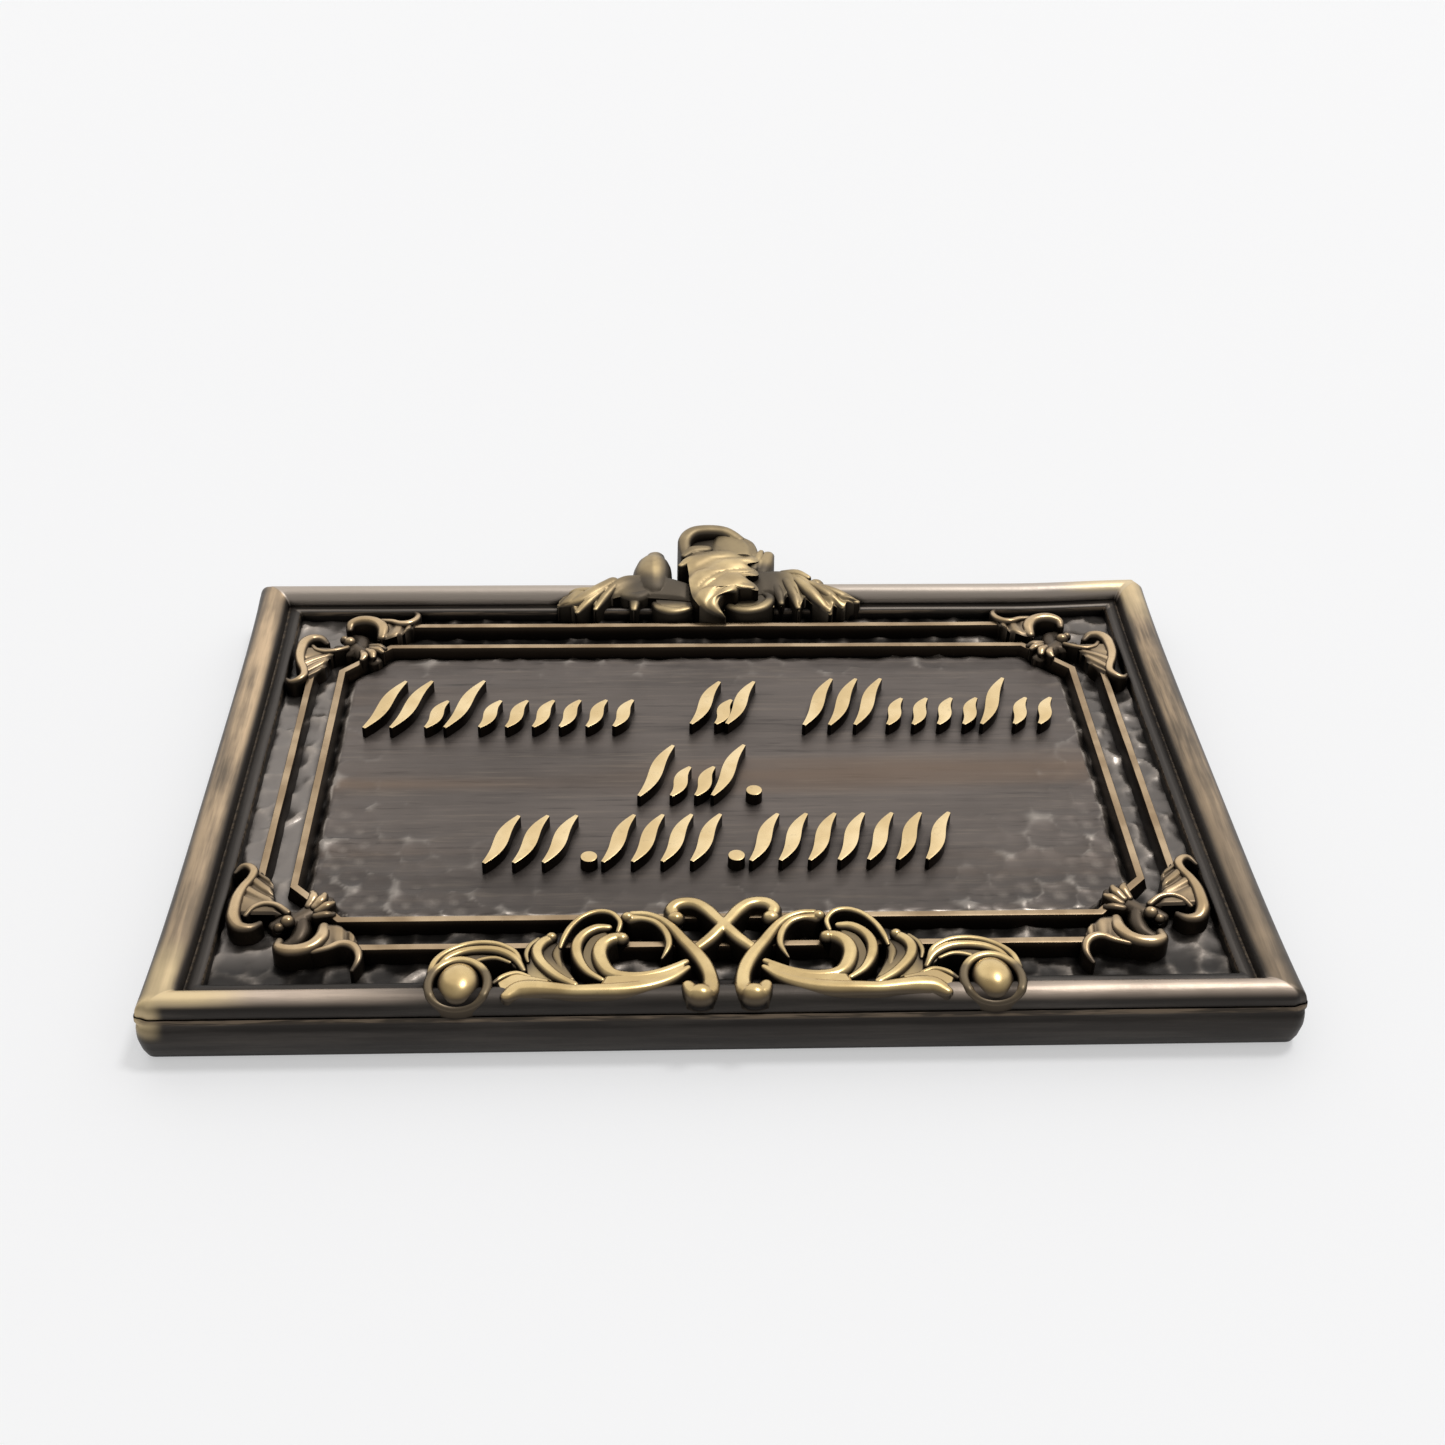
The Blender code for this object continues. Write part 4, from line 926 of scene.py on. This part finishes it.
# The crest over the far edge, cast with the frame: a folded acanthus leaf that rolls over at its top, a small
# scroll on each side, and leaves that spread to both sides in fingers. It stands a little clear of the wall.
# A leaf's body has its two edges here, then the number, depth and slope of its folds and its belly.
CREST_FOOT = 1.2
CREST_BODIES = (
    (((2.2, 72.8, 6.3), (0.6, 73.0, 6.9), (-0.9, 73.9, 7.5), (-1.9, 76.0, 8.0), (-2.3, 78.6, 8.25),
      (-2.3, 81.2, 8.3), (-2.5, 83.6, 8.3), (-2.5, 85.8, 8.2), (-1.8, 87.8, 8.0)),
     ((2.5, 72.8, 6.3), (1.9, 73.7, 6.9), (1.6, 74.6, 7.6), (2.3, 75.9, 8.0), (4.0, 76.7, 8.15),
      (4.6, 77.9, 8.2), (6.8, 77.3, 7.9), (6.5, 79.0, 8.15), (5.3, 80.4, 8.25), (7.1, 81.2, 7.9),
      (6.6, 82.8, 8.15), (5.7, 83.8, 8.2), (7.3, 84.8, 7.9), (6.8, 86.8, 7.9)),
     4, 0.16, 0.42, 0.35),
    (((-2.6, 84.8, 7.4), (-2.8, 88.0, 7.2), (-2.0, 91.4, 7.0)),
     ((6.8, 84.8, 7.8), (6.6, 88.0, 7.9), (4.9, 91.4, 8.0)),
     0, 0.0, 0.0, 0.0),
    (((0.6, 86.0, 7.8), (1.0, 89.0, 7.9), (1.6, 91.6, 7.9)),
     ((6.4, 86.0, 8.1), (6.4, 88.4, 8.2), (4.8, 91.2, 8.3)),
     0, 0.0, 0.0, 0.15),
    (((6.5, 83.2, 7.2), (9.0, 83.2, 7.4), (12.0, 82.8, 7.4), (14.0, 81.2, 7.4), (15.4, 79.9, 7.2),
      (17.4, 78.9, 6.9), (20.6, 77.4, 6.1)),
     ((6.4, 78.4, 6.6), (8.4, 78.6, 6.6), (9.4, 77.6, 6.4), (10.0, 76.4, 6.0), (10.8, 78.0, 6.5),
      (11.6, 76.6, 6.3), (12.3, 75.3, 5.9), (13.2, 77.2, 6.6), (14.6, 75.8, 6.4), (16.4, 74.3, 5.9),
      (17.0, 75.9, 6.5), (18.3, 75.2, 5.9), (18.8, 76.4, 6.4), (20.4, 76.6, 6.0)),
     5, 0.14, 0.3, 0.25),
    (((-1.8, 80.4, 6.9), (-5.4, 82.2, 7.1), (-9.8, 82.4, 7.3), (-12.4, 81.4, 7.4), (-14.1, 79.9, 7.3),
      (-15.8, 78.8, 7.0), (-17.6, 79.9, 6.6), (-19.6, 77.8, 6.1)),
     ((-1.8, 77.2, 6.4), (-6.4, 77.8, 6.5), (-9.6, 77.9, 6.6), (-12.0, 78.0, 6.6), (-13.6, 77.4, 6.4),
      (-14.8, 75.4, 5.9), (-15.6, 76.9, 6.5), (-17.2, 74.6, 5.9), (-18.0, 76.0, 6.4), (-19.9, 76.3, 5.9)),
     4, 0.14, 0.25, 0.25),
    (((-7.0, 81.5, 6.4), (-4.5, 81.5, 6.4), (-1.6, 81.5, 6.4)),
     ((-6.8, 76.2, 5.9), (-4.5, 75.6, 5.9), (-1.6, 75.6, 5.9)),
     0, 0.0, 0.0, 0.0),
    (((1.6, 81.0, 6.4), (5.0, 81.2, 6.5), (9.0, 81.2, 6.6)),
     ((2.2, 75.6, 5.9), (5.4, 75.4, 5.9), (9.0, 76.2, 6.1)),
     0, 0.0, 0.0, 0.0),
)
# The main leaf's turned lobes, which are soft, and the strands of the rest
CREST_LEAF_FOLDS = (
    ((-0.2, 84.9, 0.9, 8.5), (-2.0, 84.6, 0.95, 8.5), (-3.3, 83.6, 0.45, 8.1)),
    ((0.2, 88.0, 0.9, 8.2), (-1.6, 87.6, 1.0, 8.3), (-2.8, 86.4, 0.5, 8.0)),
    ((6.0, 77.9, 0.5, 8.1), (3.4, 78.0, 0.8, 8.45), (0.6, 76.4, 0.8, 8.25), (0.2, 74.2, 0.5, 7.5)),
    ((6.2, 82.2, 0.5, 8.0), (3.2, 81.2, 0.9, 8.45), (0.0, 79.0, 0.9, 8.45), (-1.0, 76.0, 0.6, 7.9)),
)
CREST_STRANDS = (
    ((-2.6, 86.8, 0.8, 8.0), (-2.7, 90.0, 0.95, 8.5), (-1.5, 91.9, 1.05, 8.85), (0.9, 92.3, 1.05, 8.94),
     (3.1, 91.9, 1.0, 8.8), (4.8, 90.4, 0.9, 8.4)),
    ((3.8, 91.2, 0.9, 8.1), (5.9, 89.5, 1.1, 8.1), (6.4, 86.8, 1.0, 7.9)),
    ((7.2, 82.0, 0.9, 7.0), (8.0, 85.2, 1.4, 7.6), (8.7, 87.3, 0.95, 7.6)),
    ((6.6, 84.0, 0.8, 7.6), (7.2, 86.2, 0.8, 7.8), (7.8, 87.8, 0.4, 7.7)),
    ((10.6, 83.0, 0.6, 7.3), (12.4, 82.8, 0.75, 7.5), (13.8, 81.6, 0.5, 7.4)),
    ((9.3, 80.2, 0.6, 7.1), (9.8, 78.4, 0.75, 6.9), (10.0, 76.9, 0.45, 6.25)),
    ((10.8, 80.9, 0.6, 7.4), (11.7, 78.3, 0.8, 7.1), (12.2, 75.9, 0.45, 6.2)),
    ((12.4, 80.8, 0.7, 7.6), (14.2, 78.0, 1.05, 7.4), (16.2, 75.0, 0.45, 6.2)),
    ((14.2, 80.0, 0.6, 7.5), (16.5, 77.8, 0.85, 7.2), (18.1, 75.8, 0.4, 6.2)),
    ((15.4, 79.6, 0.5, 7.3), (17.8, 78.3, 0.75, 7.05), (20.1, 77.0, 0.5, 6.3)),
    ((2.75, 77.2, 0.5, 6.2), (3.2, 75.7, 0.7, 6.5), (5.2, 74.7, 0.85, 6.75), (7.5, 75.6, 0.85, 6.75),
     (8.5, 77.7, 0.65, 6.7), (7.6, 79.0, 0.4, 6.5)),
    ((-6.9, 77.2, 0.5, 6.0), (-6.1, 75.6, 0.75, 6.4), (-4.4, 74.9, 0.85, 6.5), (-2.3, 75.7, 0.55, 6.3)),
    ((-7.1, 80.8, 2.4, 7.6), (-7.2, 83.4, 2.65, 8.0), (-7.0, 85.8, 2.25, 7.95), (-6.8, 87.1, 1.4, 7.6)),
    ((-12.6, 80.9, 0.9, 7.5), (-15.0, 78.6, 1.1, 7.4), (-17.2, 77.0, 0.9, 6.9), (-19.5, 76.7, 0.45, 6.1)),
    ((-15.4, 79.0, 0.6, 7.2), (-17.2, 79.3, 0.6, 6.9), (-18.6, 79.2, 0.35, 6.4)),
    ((-14.0, 78.9, 0.7, 7.3), (-15.8, 76.9, 0.8, 6.9), (-17.2, 75.0, 0.4, 6.1)),
    ((-12.4, 79.9, 0.7, 7.4), (-13.8, 77.8, 0.8, 6.9), (-14.8, 75.8, 0.4, 6.1)),
    ((-8.0, 80.4, 0.5, 6.9), (-8.0, 79.0, 0.8, 6.9), (-9.2, 78.0, 1.0, 6.9), (-10.8, 78.4, 0.85, 6.8)),
    ((-9.6, 77.2, 0.8, 6.5), (-9.7, 76.0, 0.5, 6.0)),
)
FOLD_DEPTH = 0.75
CREST_DEPTH = 0.8
solids = []
for near_edge, far_edge, folds, depth, slope, belly in CREST_BODIES:
    solids.append(leaf((near_edge, far_edge), CREST_FOOT, folds, depth, slope, belly, (90, 23)))
for stops in CREST_LEAF_FOLDS:
    solids.append(strand(stops, CREST_FOOT, FOLD_DEPTH))
for stops in CREST_STRANDS:
    solids.append(strand(stops, CREST_FOOT, CREST_DEPTH))
solids.append(dome(14.9, 80.9, (1.25, 1.25, 1.25), 7.1, 18, 10))
crest = merged("crest", solids)
smooth_over(crest, 50)


def crest_wear(brass, high_up):
    """The side leaves' tips and the scrolls are rubbed too, the roll and the leaf's inside less. The egg leaf
    gets a painted highlight on its left side and painted shade on its right.
    """
    wide = brass.wide
    tips = wide.between(9.0, 14.0) * (0.3 + brass.height.between(6.0, 7.3) * 0.45)
    scrolls = brass.up.between(36.2, 34.6) * wide.between(2.2, 3.0) * 0.6
    lobe = brass.across.between(6.6, 7.4) * brass.up.between(42.5, 44.5) * 0.55
    # Painted light: a highlight on the egg leaf's left side, and below, shade on its right side.
    egg_leaf_highlight = brass.across.between(-5.4, -7.0) * brass.up.between(39.5, 42.0) * 0.4
    egg_shade = brass.across.between(-9.0, -8.0) * brass.across.between(-3.0, -3.6)
    egg_shade = egg_shade * brass.up.between(38.0, 39.5)
    roll = 1 - brass.up.between(42.0, 46.0) * 0.55
    leaf_only = high_up * wide.between(7.4, 6.8) * roll
    tip = wide.between(3.6, 2.6) * brass.up.between(35.2, 33.8) * 0.8
    rest = tips + scrolls + lobe + egg_leaf_highlight + tip + high_up * wide.between(6.8, 7.4) * 0.3
    return (leaf_only + rest * (1 - egg_shade * brass.across.between(-7.0, -5.0))).held()


CREST_GOLDS = ((0.42, 0.31, 0.165, 1), (0.70, 0.53, 0.28, 1))
CREST_BODY = (0.115, 0.094, 0.07, 1)
crest_brass = relief_brass("crest brass", 7.3, 8.4, CREST_GOLDS, CREST_BODY, worn=crest_wear, rough=0.52)
crest.data.materials.append(crest_brass)
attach(crest, "root")
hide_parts("plaque")

# Three rows of raised strokes in the place of an inscription, cast with the panel: slanted blades, tall and
# short, and round drops. Their flat tops are rubbed to pale gold and their upright sides are painted black,
# painted shade over the patina.
STROKE_TOP = 5.7
STROKE_HALF = 0.85
STROKE_SLANT = 0.42
STROKE_BEND = 0.3
STROKE_STATIONS = 29
SHORT_SHARE = 0.56
DROP_RADIUS = 0.95
STROKE_ROWS = (
    (7.9, 9.9, -0.90, -0.20, "TTSTSSSSSS"),
    (8.3, 9.0, -0.04, 0.10, "TST"),
    (7.9, 9.9, 0.25, 0.92, "TTTSSSSTSS"),
    (-5.9, 9.8, -0.18, 0.125, "TSSTD"),
    (-17.7, 8.3, -0.56, 0.57, "TTTDTTTTDTTTTTTT"),
)


def stroke_section(half, top):
    side = [(-1.1 * half, ROOT_HEIGHT), (-half, top - 0.12)]
    side += [(-half + 0.03, top - 0.03), (-half + 0.12, top)]
    return side + [(-offset, height) for offset, height in reversed(side)]


def blade(u, v, height):
    """A slanted stroke that swells in the middle and bends like a blade of grass."""
    share = np.linspace(0, 1, STROKE_STATIONS)
    blade_u = u + (share - 0.5) * height * STROKE_SLANT + STROKE_BEND * np.sin(math.tau * share)
    half = STROKE_HALF * (0.28 + 0.72 * np.sin(math.pi * share))
    top = np.full(STROKE_STATIONS, STROKE_TOP)
    return swept("blade", np.column_stack([blade_u, v + share * height, half, top]), stroke_section)


def drop(u, v):
    wheel = np.linspace(0, math.tau, 32, endpoint=False)
    levels = ((1.06, ROOT_HEIGHT), (1.0, STROKE_TOP - 0.12), (0.96, STROKE_TOP - 0.03), (0.86, STROKE_TOP))
    rings = []
    for grow, height in levels:
        reach = DROP_RADIUS * grow
        ring = [u + reach * np.cos(wheel), v + reach * np.sin(wheel), np.full(len(wheel), height)]
        rings.append(np.column_stack(ring))
    return shell("drop", rings)


solids = []
for above_middle, row_height, start, end, kinds in STROKE_ROWS:
    row_foot = (INNER_RAIL_BOTTOM + INNER_RAIL_TOP) / 2 + above_middle
    for index, kind in enumerate(kinds):
        u = INNER_RAIL_HALF * (start + (end - start) * (index + 0.5) / len(kinds))
        if kind == "D":
            solids.append(drop(u, row_foot + DROP_RADIUS))
        else:
            solids.append(blade(u, row_foot, row_height if kind == "T" else row_height * SHORT_SHARE))
strokes = merged("inscription_strokes", solids)
smooth_over(strokes, 40)
STROKE_GOLDS = ((0.72, 0.53, 0.27, 1), (0.88, 0.69, 0.40, 1))
stroke_brass = relief_brass("inscription brass", 5.4, 5.62, STROKE_GOLDS, sharp=(0.5, 0.9))
strokes.data.materials.append(stroke_brass)
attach(strokes, "root")
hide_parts("plaque")

# The pale wall that the plaque lies flat on, open where the plaque's back covers it, so that the back can
# be seen from behind. It is stage, as are the lights: a broad soft light from above in front, a window and
# an even pale room.
WALL_REACH = 3.0
WALL_GAP = 0.0004
HOLE_REACH_X = 0.057
HOLE_REACH_Z = 0.0385
hole = [(x * HOLE_REACH_X, z * HOLE_REACH_Z) for x, z in ((-1, -1), (1, -1), (1, 1), (-1, 1))]
rim = [(x * WALL_REACH, z * WALL_REACH) for x, z in ((-1, -1), (1, -1), (1, 1), (-1, 1))]
wall_points = [(x, WALL_GAP, z) for x, z in hole + rim]
wall_mesh = bpy.data.meshes.new("wall")
wall_mesh.from_pydata(wall_points, [], [(4, 5, 1, 0), (5, 6, 2, 1), (6, 7, 3, 2), (7, 4, 0, 3)])
wall = bpy.data.objects.new("wall", wall_mesh)
bpy.context.scene.collection.objects.link(wall)
plaster = bpy.data.materials.new("pale wall")
plaster.use_nodes = True
tree = plaster.node_tree
surface = tree.nodes["Principled BSDF"]
surface.inputs["Base Color"].default_value = (0.52, 0.52, 0.525, 1)
surface.inputs["Emission Color"].default_value = (1.0, 1.0, 1.0, 1)
surface.inputs["Emission Strength"].default_value = 0.43
surface.inputs["Roughness"].default_value = 0.7
behind = make_node(tree, "ShaderNodeNewGeometry", out="Backfacing")
clear = make_node(tree, "ShaderNodeBsdfTransparent")
front = Wire(tree, surface.outputs[0])
seen = make_node(tree, "ShaderNodeMixShader", None, **{"0": behind, "1": front, "2": clear})
tree.links.new(seen.socket, tree.nodes["Material Output"].inputs["Surface"])
wall_mesh.materials.append(plaster)

world = bpy.data.worlds.new("studio")
world.use_nodes = True
background = world.node_tree.nodes["Background"]
background.inputs["Color"].default_value = (1.0, 1.0, 1.0, 1)
background.inputs["Strength"].default_value = 0.42
bpy.context.scene.world = world


def far_light(name, direction, angle, strength):
    """A far light that comes from this direction, as wide as the angle in degrees."""
    lamp = bpy.data.lights.new(name, "SUN")
    lamp.energy = strength
    lamp.angle = math.radians(angle)
    light = bpy.data.objects.new(name, lamp)
    light.rotation_euler = Vector(direction).to_track_quat("Z", "Y").to_euler()
    bpy.context.scene.collection.objects.link(light)


far_light("bright ceiling", (0.10, -0.55, 0.83), 100, 1.2)
far_light("window", (0.30, -0.86, 0.25), 12, 0.9)

# The camera looks up at the plaque from below in front, as onto a plaque that lies on its back.
CAMERA_RISE = 0.62554
CAMERA_TURN = -0.04750
CAMERA_ROLL = 0.02137
CAMERA_PLACE = (-0.00776, -0.1418, -0.17931)
PICTURE_WIDTH = 1445
PIXELS_TO_LENS = 1900
camera_data = bpy.data.cameras.new("camera")
camera_data.sensor_width = 36.0
camera_data.lens = camera_data.sensor_width * PIXELS_TO_LENS / PICTURE_WIDTH
camera_data.clip_start = 0.01
camera = bpy.data.objects.new("camera", camera_data)
lying = (
    Matrix.Rotation(CAMERA_TURN, 3, "Z")
    @ Matrix.Rotation(math.pi / 2 - CAMERA_RISE, 3, "X")
    @ Matrix.Rotation(CAMERA_ROLL, 3, "Z")
)
upright = Matrix.Rotation(math.pi / 2, 3, "X") @ lying
camera.matrix_world = Matrix.Translation(CAMERA_PLACE) @ upright.to_4x4()
bpy.context.scene.collection.objects.link(camera)
bpy.context.scene.camera = camera
bpy.context.scene.view_settings.view_transform = "Standard"
